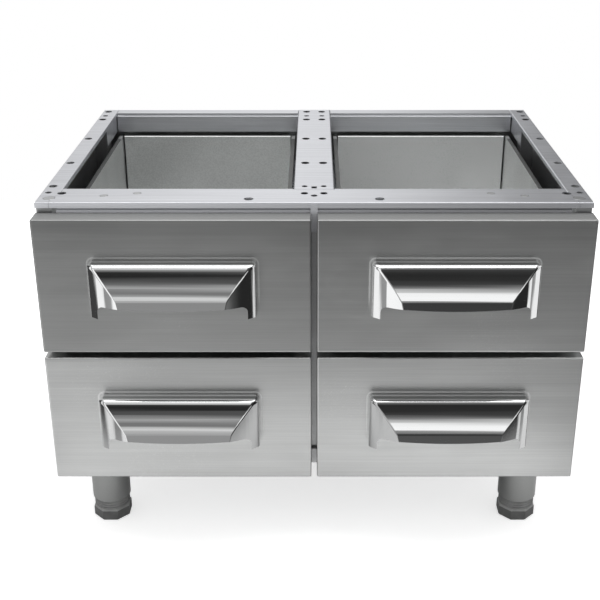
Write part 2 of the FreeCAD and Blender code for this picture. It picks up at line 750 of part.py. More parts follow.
def make_panel_screws():
    """Low headed screws through the side and back sheets."""
    side_head = cylinder("side_screw_head", "screw_head_radius", "screw_head_height",
                         "-(panel_outer) - screw_head_height", along="x")
    side_shank = cylinder("side_screw_shank", "screw_radius", "screw_length + screw_head_height",
                          "-(panel_outer) - screw_head_height", along="x")
    side_screw = fuse("side_screw", side_head, side_shank)
    back_head = cylinder("back_screw_head", "screw_head_radius", "screw_head_height",
                         y="panel_back_y", along="y")
    back_shank = cylinder("back_screw_shank", "screw_radius", "screw_length + screw_head_height",
                          y="panel_back_y - screw_length", along="y")
    back_screw = fuse("back_screw", back_head, back_shank)
    screws = [placed("side_fixing", side_screw, y=y, z="base_z + " + rise)
              for y in POST_MIDDLES for rise in SIDE_RISES]
    screws += [placed("back_fixing", back_screw, x="-(half_width) + back_screw_inset", z="base_z + " + rise)
               for rise in BACK_RISES]
    screws += [mirrored("fixing_twin", screw) for screw in list(screws)]
    return keep(group("screws", *screws), "panel_screws")


# Legs and feet, each modelled round its own axis with the floor at zero.

def make_leg():
    leg = new_body("leg")
    flange = "leg_flange_half"
    flange_low = "leg_top_z - leg_flange_sheet"
    pad(leg, "XY_Plane", flange_low, "leg_top_z", [rectangle("-" + flange, flange, "-" + flange, flange)])
    fillet(leg, "leg_flange_sheet * 2", ("z", ("x_low", "y_low")), ("z", ("x_low", "y_high")),
           ("z", ("x_high", "y_low")), ("z", ("x_high", "y_high")))
    pad(leg, "XY_Plane", "leg_clearance", flange_low, circles=[(("0", "0"), "leg_radius")])
    bore = (("0", "0"), "leg_radius - leg_wall")
    pocket(leg, "XY_Plane", "leg_clearance - 1", flange_low, circles=[bore])
    holes = [(place, "leg_bolt_hole") for place in bolt_places("0", "0")]
    pocket(leg, "XY_Plane", flange_low + " - 1", "leg_top_z + 1", circles=holes)
    return leg


def make_leg_bolt():
    low = "leg_top_z - leg_flange_sheet - leg_bolt_head_height"
    head = hexagon("bolt_head", "leg_bolt_head_radius", "leg_bolt_head_height", z=low)
    shank = cylinder("bolt_shank", "leg_bolt_radius",
                     "leg_bolt_head_height + leg_flange_sheet + frame_sheet + leg_nut_height", z=low)
    nut = hexagon("bolt_nut", "leg_bolt_head_radius", "leg_nut_height - frame_sheet", z="base_top_z")
    return fuse("leg_bolt", head, shank, nut)


def make_stem():
    """Ribbed sleeve in the leg tube, closed below, with a pivot for the cap."""
    stem = new_body("stem")
    top = "cap_height + stem_height"
    centre = ("0", "0")
    pad(stem, "XY_Plane", "cap_height", top, circles=[(centre, "stem_radius")])
    pocket(stem, "XY_Plane", "cap_height + stem_wall", top, circles=[(centre, "stem_radius - stem_wall")])
    for count in range(3):
        low = "cap_height + %d * stem_rib_width" % (2 * count + 1)
        pocket(stem, "XY_Plane", low, low + " + stem_rib_width",
               circles=[(centre, "stem_radius + 1"), (centre, "stem_radius - stem_rib_depth")])
    pivot = (centre, "stem_pivot_radius")
    pad(stem, "XY_Plane", "cap_height - stem_pivot_length", "cap_height", circles=[pivot])
    return stem


def make_cap():
    """Eight sided foot, chamfered above and below, bored for the stem's pivot."""
    cap = new_body("cap")
    flat = "cap_flats / 2"
    corner = "cap_flats / 2 * tan(22.5 deg)"
    outline = [(flat, corner), (corner, flat), ("-(%s)" % corner, flat), ("-(%s)" % flat, corner),
               ("-(%s)" % flat, "-(%s)" % corner), ("-(%s)" % corner, "-(%s)" % flat),
               (corner, "-(%s)" % flat), (flat, "-(%s)" % corner)]
    pad(cap, "XY_Plane", "0", "cap_height", [outline])
    doc.recompute()
    for side, size in (("ZMax", "cap_top_chamfer"), ("ZMin", "cap_foot_chamfer")):
        level = getattr(cap.Shape.BoundBox, side)
        rim = ["Edge%d" % index for index, edge in enumerate(cap.Shape.Edges, start=1)
               if abs(edge.BoundBox.ZMin - level) < LOOSE and abs(edge.BoundBox.ZMax - level) < LOOSE]
        base = cap.Tip
        chamfer = cap.newObject("PartDesign::Chamfer", "cap_chamfer")
        chamfer.Base = (base, rim)
        bind(chamfer, Size=size)
        doc.recompute()
    pocket(cap, "XY_Plane", "cap_height - stem_pivot_length", "cap_height",
           circles=[(("0", "0"), "stem_pivot_radius + stem_pivot_fit")])
    return cap


def make_legs():
    leg = make_leg()
    bolt = make_leg_bolt()
    stem = make_stem()
    cap = make_cap()
    bolts = []
    for x, side in (("-(leg_x)", "left"), ("leg_x", "right")):
        for y, end in (("front_leg_y", "front"), ("rear_leg_y", "rear")):
            corner = end + "_" + side
            keep(placed("leg_at", leg, x, y), "leg_" + corner)
            keep(placed("stem_at", stem, x, y), "foot_stem_" + corner)
            keep(placed("cap_at", cap, x, y), "foot_cap_" + corner)
            bolts += [placed("bolt_at", bolt, *place) for place in bolt_places(x, y)]
    keep(group("bolts", *bolts), "leg_bolts")


# Drawer pieces, modelled round the middle of the front's top edge.

def make_front():
    front = new_body("front_skin")
    pad(front, "XZ_Plane", "0", "front_thickness",
        [rectangle("-(front_half)", "front_half", "-(front_height)", "0")])
    fillet(front, "front_bend", ("x", ("y_low", "z_low")), ("x", ("y_low", "z_high")),
           ("z", ("y_low", "x_low")), ("z", ("y_low", "x_high")),
           ("y", ("x_low", "z_low")), ("y", ("x_low", "z_high")),
           ("y", ("x_high", "z_low")), ("y", ("x_high", "z_high")))
    inner = "front_half - panel_sheet"
    pocket(front, "XZ_Plane", "panel_sheet", "front_thickness + 1",
           [rectangle("-(%s)" % inner, inner, "-(front_height) + panel_sheet", "-panel_sheet")])
    hole = "handle_screw_radius + handle_screw_fit"
    level = "-handle_drop - (handle_screw_level)"
    spots = [("-handle_screw_spacing / 2", level), ("handle_screw_spacing / 2", level)]
    pocket(front, "XZ_Plane", "-1", "panel_sheet + 1", circles=[(spot, hole) for spot in spots])
    return front


def make_liner():
    """Inner pan that closes the back of the hollow front."""
    liner = new_body("liner_pan")
    half = "front_half - panel_sheet"
    low = "-(front_height) + panel_sheet"
    pad(liner, "XZ_Plane", "front_thickness - liner_depth", "front_thickness",
        [rectangle("-(%s)" % half, half, low, "-panel_sheet")])
    pocket(liner, "XZ_Plane", "front_thickness - liner_depth - 1", "front_thickness - panel_sheet",
           [rectangle("-(%s) + panel_sheet" % half, half + " - panel_sheet", low + " + panel_sheet",
                      "-2 * panel_sheet")])
    return liner


def make_tray():
    tray = new_body("tray_box")
    end = "tray_end"
    low = "-(tray_bottom)"
    top = "-tray_drop"
    wide = "tray_half + tray_flange"
    pad(tray, "XY_Plane", low, top, [rectangle("-(tray_half)", "tray_half", "front_thickness", end)])
    fillet(tray, "frame_bend", ("y", ("x_low", "z_low")), ("y", ("x_high", "z_low")))
    pad(tray, "XY_Plane", top + " - tray_sheet", top,
        [rectangle("-(%s)" % wide, wide, "front_thickness", end)])
    inner = "tray_half - tray_sheet"
    pocket(tray, "XY_Plane", low + " + tray_sheet", top,
           [rectangle("-(%s)" % inner, inner, "front_thickness + tray_sheet", end + " - 2 * tray_sheet")])
    pocket(tray, "XY_Plane", low + " + tray_sheet", top + " - tray_hem",
           [rectangle("-(%s)" % inner, inner, "front_thickness + tray_sheet", end + " - tray_sheet")])
    round_hem(tray)
    rim_half = inner + " - tray_slit_width"
    pad(tray, "XY_Plane", top + " - tray_sheet", top,
        [rectangle("-(%s)" % rim_half, rim_half, end + " - tray_sheet", end + " + tray_flange")])
    slits = []
    for side in ("", "-"):
        slits.append(rectangle("%s(%s)" % (side, inner), "%s(%s)" % (side, rim_half),
                               end + " - 2 * tray_sheet - 1", end + " + tray_flange + 1"))
    pocket(tray, "XY_Plane", low + " + tray_slit_rise", top + " + 1", slits)
    return tray


def round_hem(tray):
    """Round the inner top edge of the doubled back wall, the last before its outer edge."""
    doc.recompute()
    base = tray.Tip
    outer = straight_edges(base.Shape, "x", z_high=None, y_high=None)
    rims = [label for label in straight_edges(base.Shape, "x", z_high=None) if label not in outer]
    hem = max(rims, key=lambda label: base.Shape.Edges[int(label[4:]) - 1].CenterOfMass.y)
    feature = tray.newObject("PartDesign::Fillet", "hem_bend")
    feature.Base = (base, [hem])
    bind(feature, Radius="tray_hem_bend")


def channel(name, web_low, web_high, tip, height):
    """One channel of a slide: an upright web with two flanges towards its tip."""
    member = new_body(name)
    outer = "(%s) / 2" % height
    inner = outer + " - runner_sheet"
    root, face = (web_high, web_low) if name != "drawer_channel" else (web_low, web_high)
    profile = [
        (face, "runner_z - " + outer), (tip, "runner_z - " + outer), (tip, "runner_z - (%s)" % inner),
        (root, "runner_z - (%s)" % inner), (root, "runner_z + " + inner), (tip, "runner_z + " + inner),
        (tip, "runner_z + " + outer), (face, "runner_z + " + outer),
    ]
    pad(member, "XZ_Plane", "runner_start", "runner_end", [profile])
    return group(name + "_pair", member, mirrored(name + "_twin", member))


def make_channels():
    wall = "-(wall_half)"
    middle = wall + " + runner_sheet + runner_clearance"
    side = "-(tray_half)"
    cabinet = channel("cabinet_channel", wall, wall + " + runner_sheet", wall + " + runner_overlap",
                      "runner_height")
    slider = channel("middle_channel", middle, middle + " + runner_sheet",
                     wall + " + runner_overlap + runner_clearance", "middle_height")
    drawer = channel("drawer_channel", side + " - runner_sheet", side,
                     middle + " + runner_sheet + 2 * runner_clearance", "inner_height")
    return cabinet, slider, drawer


def hood(name, inset):
    """The handle's closed form: an upright profile and a level one, crossed."""
    side = new_body(name + "_side")
    ledge = "-handle_ledge + (%s) * tan(slope_angle / 2)" % inset
    reach = "-handle_projection + (%s)" % inset
    shoulder = "-handle_slope_drop - (%s) * tan((90 deg - slope_angle) / 2)" % inset
    low = "-handle_height - 1"
    pad(side, "YZ_Plane", "-(handle_half)", "handle_half",
        [[("1", "-(%s)" % inset), (ledge, "-(%s)" % inset), (reach, shoulder), (reach, low), ("1", low)]])
    doc.recompute()
    round_long_edges(side, "x", (("z_high", "handle_top_bend"), ("y_low", "handle_lip_bend")), inset)
    plan = new_body(name + "_plan")
    cheek = "handle_half - (%s)" % inset
    cheek_ledge = "-handle_side_ledge + (%s) * tan(cheek_angle / 2)" % inset
    corner = "lip_half - (%s) * tan((90 deg - cheek_angle) / 2)" % inset
    pad(plan, "XY_Plane", low, "0",
        [[(cheek, "1"), (cheek, cheek_ledge), (corner, reach), ("-(%s)" % corner, reach),
          ("-(%s)" % cheek, cheek_ledge), ("-(%s)" % cheek, "1")]])
    doc.recompute()
    round_long_edges(plan, "z", (("x_low", "handle_side_bend"), ("x_high", "handle_side_bend"),
                                 ("y_low", "handle_corner_bend")), inset)
    return common(name, side, plan)


def round_long_edges(body, axis, rounds, inset):
    """Round the bends of a handle profile, leaving the edges at its open back."""
    for side, radius in rounds:
        doc.recompute()
        base = body.Tip
        back = base.Shape.BoundBox.YMax
        low = base.Shape.BoundBox.ZMin
        edges = []
        for label in straight_edges(base.Shape, axis, **{side: None}):
            edge = base.Shape.Edges[int(label[4:]) - 1]
            middle = edge.CenterOfMass
            at_low = axis == "x" and abs(middle.z - low) < LOOSE
            if abs(middle.y - back) > LOOSE and not at_low:
                edges.append(label)
        feature = body.newObject("PartDesign::Fillet", body.Name + "_bend")
        feature.Base = (base, edges)
        bind(feature, Radius="%s - (%s)" % (radius, inset))
    doc.recompute()


def make_handle():
    outer = hood("hood", "0")
    inner = hood("hood_inside", "handle_sheet")
    shell = cut("hood_shell", outer, inner)
    open_half = "handle_half - handle_leg_width"
    opening = new_body("hood_opening")
    pad(opening, "XZ_Plane", "-handle_projection - 1", "1",
        [rectangle("-(%s)" % open_half, open_half, "-handle_height - 2", "-handle_lip_drop")])
    fillet(opening, "handle_arch_radius", ("y", ("x_low", "z_high")), ("y", ("x_high", "z_high")))
    bow = cylinder("lip_bow", "bow_radius", "handle_projection + 4", "0", "-handle_projection - 2",
                   "-handle_lip_drop - handle_lip_bow + bow_radius", along="y")
    arch = cut("hood_arch", opening, bow)
    open_shell = cut("hood_open", shell, arch)
    depth = box("hood_depth", ("-(handle_half) - 1", "handle_half + 1"), ("-handle_projection - 1", "0"),
                ("-handle_height", "1"))
    body = common("hood_body", open_shell, depth)
    flange = box("hood_flange", ("-handle_flange_width / 2", "handle_flange_width / 2"),
                 ("-handle_sheet", "0"), ("-handle_flange", "-handle_sheet / 2"))
    parts = [body, flange]
    bores = []
    nut_depth = "handle_sheet + handle_nut_height"
    bore_radius = "handle_screw_radius + handle_screw_fit"
    level = "-(handle_screw_level)"
    for x in ("-handle_screw_spacing / 2", "handle_screw_spacing / 2"):
        parts.append(cylinder("nut", "handle_nut_radius", nut_depth, x, "-(%s)" % nut_depth, level, "y"))
        bores.append(cylinder("nut_bore", bore_radius, nut_depth + " + 2",
                              x, "-(%s) - 1" % nut_depth, level, "y"))
    return cut("hood_handle", fuse("hood_solid", *parts), fuse("nut_bores", *bores))


def make_handle_screws():
    screws = []
    for x in ("-handle_screw_spacing / 2", "handle_screw_spacing / 2"):
        level = "-handle_drop - (handle_screw_level)"
        head = cylinder("screw_head", "handle_screw_head_radius", "handle_screw_head_height",
                        x, "panel_sheet", level, "y")
        shank = cylinder("screw_shank", "handle_screw_radius",
                         "panel_sheet + handle_sheet + handle_nut_height",
                         x, "-handle_sheet - handle_nut_height", level, "y")
        screws.append(fuse("handle_screw", head, shank))
    return group("handle_screw_pair", *screws)


def make_drawers():
    cabinet, slider, drawer = make_channels()
    pieces = {
        "drawer_front": make_front(), "front_liner": make_liner(), "drawer_tray": make_tray(),
        "handle_screws": make_handle_screws(), "drawer_runners": drawer, "middle_runners": slider,
        "cabinet_runners": cabinet,
    }
    handle = make_handle()
    for row, z in (("upper", "upper_z"), ("lower", "lower_z")):
        for column, x in (("left", "-(column_x)"), ("right", "column_x")):
            place = row + "_" + column
            for name, piece in pieces.items():
                keep(placed(name + "_at", piece, x, "face_y", z), name + "_" + place)
            keep(placed("handle_at", handle, x, "face_y", z + " - handle_drop"), "handle_" + place)


make_front_rail()
make_side_rail()
make_back_rail()
make_centre_rail()
make_centre_tab()
make_frame_plugs()
make_side_panel()
make_back_panel()
make_bottom_panel()
make_divider()
make_posts()
make_panel_screws()
make_legs()
make_drawers()
doc.recompute()

for item in doc.Objects:
    if "Invalid" in item.State or "Error" in item.State:
        raise ValueError("%s did not build: %s" % (item.Label, item.State))
for node in nodes:
    if node.Shape.isNull() or not node.Shape.isValid() or not node.Shape.Solids:
        raise ValueError("%s has no sound shape" % node.Label)

os.makedirs("parts", exist_ok=True)
for node in nodes:
    node.Shape.exportStep("parts/%s.step" % node.Label)
print("wrote %d pieces" % len(nodes))
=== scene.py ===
import math

import bpy
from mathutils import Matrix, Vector


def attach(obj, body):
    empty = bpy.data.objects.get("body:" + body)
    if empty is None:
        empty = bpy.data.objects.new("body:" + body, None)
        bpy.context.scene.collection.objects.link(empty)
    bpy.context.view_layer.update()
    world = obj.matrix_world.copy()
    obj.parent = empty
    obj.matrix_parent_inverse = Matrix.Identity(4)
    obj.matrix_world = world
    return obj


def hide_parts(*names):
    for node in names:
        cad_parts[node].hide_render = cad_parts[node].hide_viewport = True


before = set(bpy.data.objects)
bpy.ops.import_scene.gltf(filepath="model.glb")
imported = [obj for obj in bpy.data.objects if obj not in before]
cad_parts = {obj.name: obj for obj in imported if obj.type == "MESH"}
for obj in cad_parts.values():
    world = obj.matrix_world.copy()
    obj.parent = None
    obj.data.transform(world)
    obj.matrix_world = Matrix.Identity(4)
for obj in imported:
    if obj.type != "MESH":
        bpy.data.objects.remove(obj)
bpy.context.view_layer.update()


# Places and sizes of the unit in metres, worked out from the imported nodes
def box_of(name):
    """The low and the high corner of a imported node, to the micrometre."""
    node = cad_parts[name]
    corners = [node.matrix_world @ Vector(corner) for corner in node.bound_box]
    axes = list(zip(*corners))
    return [round(min(axis), 6) for axis in axes], [round(max(axis), 6) for axis in axes]


ROWS = ("upper", "lower")
COLUMNS = {"left": -1, "right": 1}
FRONT_LOW, FRONT_HIGH = box_of("drawer_front_upper_right")
HANDLE_LOW, HANDLE_HIGH = box_of("handle_upper_right")
FACE_Y = FRONT_LOW[1]
COLUMN_X = round((FRONT_LOW[0] + FRONT_HIGH[0]) / 2, 6)
HANDLE_TOPS = {row: box_of("handle_" + row + "_right")[1][2] for row in ROWS}
HOOD_HALF = round((HANDLE_HIGH[0] - HANDLE_LOW[0]) / 2, 6)
HOOD_DROP = round(HANDLE_HIGH[2] - HANDLE_LOW[2], 6)
HOOD_REACH = round(FACE_Y - HANDLE_LOW[1], 6)

WHITE = (1.0, 1.0, 1.0, 1.0)


# Node helpers
def fit(tree, socket, value):
    """Joins another socket to a socket, or sets it to a value."""
    if isinstance(value, bpy.types.NodeSocket):
        tree.links.new(value, socket)
    else:
        socket.default_value = value


def calc(tree, kind, *values):
    """A sum, product or other function of up to three values."""
    node = tree.nodes.new("ShaderNodeMath")
    node.operation = kind
    for socket, value in zip(node.inputs, values):
        fit(tree, socket, value)
    return node.outputs[0]


def product(tree, first, *others):
    for other in others:
        first = calc(tree, "MULTIPLY", first, other)
    return first


def distance(tree, first, second):
    """The length of a flat vector with these two parts."""
    squares = calc(tree, "ADD", product(tree, first, first), product(tree, second, second))
    return calc(tree, "SQRT", squares)


def step(tree, value, low, high, out_low=0.0, out_high=1.0):
    """A soft step from out_low to out_high while value goes from low to high."""
    node = tree.nodes.new("ShaderNodeMapRange")
    node.interpolation_type = "SMOOTHSTEP"
    for name, number in (("Value", value), ("From Min", low), ("From Max", high),
                         ("To Min", out_low), ("To Max", out_high)):
        fit(tree, node.inputs[name], number)
    return node.outputs["Result"]


def fade(tree, value, low, high):
    """A soft step from 1 down to 0 while value goes from low to high."""
    return step(tree, value, low, high, 1.0, 0.0)


def stripe(tree, value, low, high, soft):
    """1 between low and high, 0 outside, with soft edges."""
    rise = step(tree, value, low - soft, low + soft)
    fall = fade(tree, value, high - soft, high + soft)
    return product(tree, rise, fall)


def blend(tree, amount, first, second):
    """The first value where amount is 0, the second where it is 1."""
    node = tree.nodes.new("ShaderNodeMix")
    node.data_type = "FLOAT"
    fit(tree, node.inputs[0], amount)
    fit(tree, node.inputs[2], first)
    fit(tree, node.inputs[3], second)
    return node.outputs[0]


def tint(tree, amount, first, second):
    """The first colour where amount is 0, the second where it is 1."""
    node = tree.nodes.new("ShaderNodeMix")
    node.data_type = "RGBA"
    fit(tree, node.inputs[0], amount)
    for socket, colour in ((node.inputs[6], first), (node.inputs[7], second)):
        fit(tree, socket, colour if isinstance(colour, bpy.types.NodeSocket) else (*colour, 1.0))
    return node.outputs[2]


def dimmed(tree, colour, gain):
    """A colour multiplied by a value."""
    node = tree.nodes.new("ShaderNodeVectorMath")
    node.operation = "SCALE"
    fit(tree, node.inputs[0], colour)
    fit(tree, node.inputs["Scale"], gain)
    return node.outputs[0]


def vector_calc(tree, kind, *vectors):
    node = tree.nodes.new("ShaderNodeVectorMath")
    node.operation = kind
    for socket, vector in zip(node.inputs, vectors):
        fit(tree, socket, vector)
    return node.outputs[0]


def stretched(tree, place, scale):
    return vector_calc(tree, "MULTIPLY", place, scale)


def coordinates(tree, kind):
    return tree.nodes.new("ShaderNodeTexCoord").outputs[kind]


def split(tree, vector):
    """The x, y and z of a vector."""
    node = tree.nodes.new("ShaderNodeSeparateXYZ")
    fit(tree, node.inputs[0], vector)
    return node.outputs


def cloud(tree, place, scale, detail=3.0, rough=0.55):
    node = tree.nodes.new("ShaderNodeTexNoise")
    fit(tree, node.inputs["Vector"], place)
    fit(tree, node.inputs["Scale"], scale)
    fit(tree, node.inputs["Detail"], detail)
    fit(tree, node.inputs["Roughness"], rough)
    return node.outputs["Fac"]


def profile(tree, value, stops):
    """Reads a brightness off a list of (place, brightness) stops."""
    node = tree.nodes.new("ShaderNodeValToRGB")
    node.color_ramp.interpolation = "LINEAR"
    points = node.color_ramp.elements
    while len(points) < len(stops):
        points.new(0.5)
    for point, (where, level) in zip(points, stops):
        point.position = where
        point.color = (level, level, level, 1.0)
    fit(tree, node.inputs[0], value)
    return node.outputs[0]


def effect(name, inputs, outputs):
    """An empty node group with the sockets it is given."""
    tree = bpy.data.node_groups.new(name, "ShaderNodeTree")
    for label, kind, value in inputs:
        socket = tree.interface.new_socket(label, in_out="INPUT", socket_type=kind)
        if value is not None:
            socket.default_value = value
    for label, kind in outputs:
        tree.interface.new_socket(label, in_out="OUTPUT", socket_type=kind)
    return tree, tree.nodes.new("NodeGroupInput"), tree.nodes.new("NodeGroupOutput")


# Shared effects
def make_grinding_lines():
    """Fine parallel lines of a belt-ground sheet, long along one direction."""
    tree, given, made = effect("grinding_lines",
                               [("Place", "NodeSocketVector", None),
                                ("Stretch", "NodeSocketVector", (4.0, 4.0, 900.0))],
                               [("Lines", "NodeSocketFloat"), ("Streaks", "NodeSocketFloat")])
    place = stretched(tree, given.outputs["Place"], given.outputs["Stretch"])
    fit(tree, made.inputs["Lines"], cloud(tree, place, scale=1.0, detail=4.0, rough=0.7))
    wide = stretched(tree, place, (0.35, 0.35, 0.07))
    fit(tree, made.inputs["Streaks"], cloud(tree, wide, scale=1.0, detail=3.0, rough=0.6))
    return tree


def make_rolled_mottle():
    """The cloudy, slightly pebbled face of cold rolled sheet."""
    tree, given, made = effect("rolled_mottle",
                               [("Place", "NodeSocketVector", None),
                                ("Fine", "NodeSocketFloat", 420.0),
                                ("Broad", "NodeSocketFloat", 14.0)],
                               [("Pebble", "NodeSocketFloat"), ("Clouds", "NodeSocketFloat")])
    place, fine, broad = (given.outputs[name] for name in ("Place", "Fine", "Broad"))
    fit(tree, made.inputs["Pebble"], cloud(tree, place, fine, detail=2.0, rough=0.5))
    fit(tree, made.inputs["Clouds"], cloud(tree, place, broad, detail=4.0, rough=0.6))
    return tree


def make_handling_marks():
    """Wiped smears and a few hairline scratches."""
    tree, given, made = effect("handling_marks",
                               [("Place", "NodeSocketVector", None),
                                ("Size", "NodeSocketFloat", 9.0)],
                               [("Smears", "NodeSocketFloat"), ("Scratches", "NodeSocketFloat")])
    place = given.outputs["Place"]
    wiped = stretched(tree, place, (1.0, 1.0, 2.6))
    smear = cloud(tree, wiped, given.outputs["Size"], detail=5.0, rough=0.62)
    fit(tree, made.inputs["Smears"], step(tree, smear, 0.42, 0.72))
    leaning = tree.nodes.new("ShaderNodeVectorRotate")
    leaning.rotation_type = "EULER_XYZ"
    leaning.inputs["Rotation"].default_value = (0.5, 0.35, 0.8)
    fit(tree, leaning.inputs["Vector"], place)
    hair = cloud(tree, stretched(tree, leaning.outputs[0], (9.0, 260.0, 260.0)), scale=1.0, detail=1.0)
    thin = stripe(tree, hair, 0.495, 0.505, soft=0.006)
    here_and_there = step(tree, cloud(tree, place, scale=6.0, detail=1.0), 0.58, 0.7)
    fit(tree, made.inputs["Scratches"], product(tree, thin, here_and_there))
    return tree


GRINDING = make_grinding_lines()
MOTTLE = make_rolled_mottle()
MARKS = make_handling_marks()


def use(tree, group, place, **values):
    """A shared effect at a place, with some of its inputs set. Gives its outputs."""
    node = tree.nodes.new("ShaderNodeGroup")
    node.node_tree = group
    fit(tree, node.inputs["Place"], place)
    for name, value in values.items():
        fit(tree, node.inputs[name], value)
    return node.outputs


# Materials
CONTRAST = (0.3, 0.7)
GROUND_CONTRAST = (0.34, 0.66)
STREAK_SHARE = 0.45
PEBBLE_SHARE = 0.65
FLAKE_SHARE = 0.4
RELIEF_HEIGHT = 0.0002


def start(name):
    """A new material: its tree, its Principled shader and the piece's own coordinates."""
    material = bpy.data.materials.new(name)
    material.use_nodes = True
    tree = material.node_tree
    return material, tree, tree.nodes["Principled BSDF"], coordinates(tree, "Object")


def relief(tree, shader, height, strength):
    node = tree.nodes.new("ShaderNodeBump")
    node.inputs["Strength"].default_value = strength
    node.inputs["Distance"].default_value = RELIEF_HEIGHT
    fit(tree, node.inputs["Height"], height)
    fit(tree, shader.inputs["Normal"], node.outputs["Normal"])


def scratched(tree, colour, marks, amount, grey):
    """A colour with hairline scratches in a paler grey."""
    return tint(tree, product(tree, marks["Scratches"], amount), colour, (grey, grey, grey))


def smeared(tree, rough, marks, amount):
    """A roughness that wiped smears raise by an amount."""
    return calc(tree, "MULTIPLY_ADD", marks["Smears"], amount, rough)


def coat_metal(tree, shader, colour, rough, height, strength):
    """Gives a metal its colour, its roughness and the relief of a height."""
    fit(tree, shader.inputs["Base Color"], colour)
    fit(tree, shader.inputs["Roughness"], rough)
    shader.inputs["Metallic"].default_value = 1.0
    relief(tree, shader, height, strength)


def ground_steel(name, dark, light, grain, smooth, dull):
    """Belt-ground stainless sheet. grain is the stretch of its lines."""
    material, tree, shader, place = start(name)
    lines = use(tree, GRINDING, place, Stretch=grain)
    marks = use(tree, MARKS, place, Size=9.0)
    tone = blend(tree, STREAK_SHARE, lines["Lines"], lines["Streaks"])
    colour = tint(tree, step(tree, tone, *GROUND_CONTRAST), dark, light)
    colour = scratched(tree, colour, marks, amount=0.35, grey=0.8)
    rough = smeared(tree, blend(tree, lines["Streaks"], smooth, dull), marks, amount=0.05)
    coat_metal(tree, shader, colour, rough, lines["Lines"], strength=0.12)
    return material


def rolled_steel(name, dark, light, smooth, dull):
    """Cold rolled stainless sheet, left as it came from the mill."""
    material, tree, shader, place = start(name)
    skin = use(tree, MOTTLE, place, Fine=420.0)
    marks = use(tree, MARKS, place, Size=6.0)
    clouds = step(tree, skin["Clouds"], *CONTRAST)
    tone = blend(tree, PEBBLE_SHARE, clouds, step(tree, skin["Pebble"], *CONTRAST))
    colour = scratched(tree, tint(tree, tone, dark, light), marks, amount=0.3, grey=0.75)
    rough = smeared(tree, blend(tree, skin["Clouds"], smooth, dull), marks, amount=0.06)
    coat_metal(tree, shader, colour, rough, skin["Pebble"], strength=0.1)
    return material


def polished_steel(name, dark, light, smooth, dull):
    """Mirror polished sheet with faint buffing lines along its length."""
    material, tree, shader, place = start(name)
    lines = use(tree, GRINDING, place, Stretch=(3.0, 500.0, 700.0))
    marks = use(tree, MARKS, place, Size=22.0)
    rough = smeared(tree, blend(tree, lines["Lines"], smooth, dull), marks, amount=0.03)
    coat_metal(tree, shader, tint(tree, lines["Streaks"], dark, light), rough, lines["Lines"],
               strength=0.01)
    return material


def turned_steel(name, dark, light, smooth, dull):
    """Tube or screw with the fine rings that turning leaves round it."""
    material, tree, shader, place = start(name)
    lines = use(tree, GRINDING, place, Stretch=(6.0, 6.0, 1400.0))
    marks = use(tree, MARKS, place, Size=30.0)
    rough = smeared(tree, blend(tree, lines["Streaks"], smooth, dull), marks, amount=0.02)
    coat_metal(tree, shader, tint(tree, lines["Lines"], dark, light), rough, lines["Lines"],
               strength=0.02)
    return material


def zinc_plate(name, dark, light, smooth, dull):
    """Bright zinc on rolled channels: bluish, with fine crystal patches."""
    material, tree, shader, place = start(name)
    flake = tree.nodes.new("ShaderNodeTexVoronoi")
    flake.inputs["Scale"].default_value = 260.0
    fit(tree, flake.inputs["Vector"], place)
    bright = tree.nodes.new("ShaderNodeSeparateColor")
    fit(tree, bright.inputs[0], flake.outputs["Color"])
    skin = use(tree, MOTTLE, place, Fine=300.0)
    tone = blend(tree, FLAKE_SHARE, skin["Clouds"], bright.outputs[0])
    coat_metal(tree, shader, tint(tree, tone, dark, light),
               step(tree, tone, 0.2, 0.8, smooth, dull), skin["Pebble"], strength=0.05)
    return material


def moulded_plastic(name, dark, light, smooth, dull):
    """Grey moulded plastic with a fine spark-eroded skin."""
    material, tree, shader, place = start(name)
    skin = use(tree, MOTTLE, place, Fine=900.0, Broad=40.0)
    clouds = step(tree, skin["Clouds"], *CONTRAST)
    fit(tree, shader.inputs["Base Color"], tint(tree, clouds, dark, light))
    fit(tree, shader.inputs["Roughness"], blend(tree, skin["Pebble"], smooth, dull))
    relief(tree, shader, skin["Pebble"], strength=0.15)
    return material


# Light and shade painted into a finish, changing over a piece.
# Each pair is the two ends of a soft step: LOOKS in a part of the direction that a face looks in,
# X, Y and Z in metres, TONES as brightness gains.
DULL_ROUGHNESS = 0.55
LOOKS_FORWARD = (-0.9, -0.6)
LOOKS_UP = (0.7, 0.95)


def paint_light_and_dull(material, gain, dull=None):
    """Multiplies a finish's colour by a gain that paints light and shade on it, and roughens it where a
    dull mask is 1.
    """
    tree = material.node_tree
    shader = tree.nodes["Principled BSDF"]
    colour = shader.inputs["Base Color"].links[0].from_socket
    fit(tree, shader.inputs["Base Color"], dimmed(tree, colour, gain))
    if dull is not None:
        rough = shader.inputs["Roughness"].links[0].from_socket
        fit(tree, shader.inputs["Roughness"], blend(tree, dull, rough, DULL_ROUGHNESS))
    return material


def surface(material):
    """A finish's tree, the piece's own coordinates and the direction a face looks in."""
    tree = material.node_tree
    return tree, split(tree, coordinates(tree, "Object")), split(tree, coordinates(tree, "Normal"))


# The frame. Its lip is painted darker to the right as shade, its bend's highlight is painted darker, and
# its back skirt is painted lighter to the right.
LIP_Y = (-0.23, -0.20)
LIP_X = (-0.36, 0.36)
LIP_TONES = (1.12, 0.6)
LIP_MATT = 0.8
BEND_LOOKS = (0.25, 0.93)
BEND_SOFT = 0.04
BEND_TONE = 0.72
SKIRT_Y = (0.20, 0.23)
SKIRT_X = (-0.1, 0.1)
SKIRT_TONES = (0.95, 1.08)


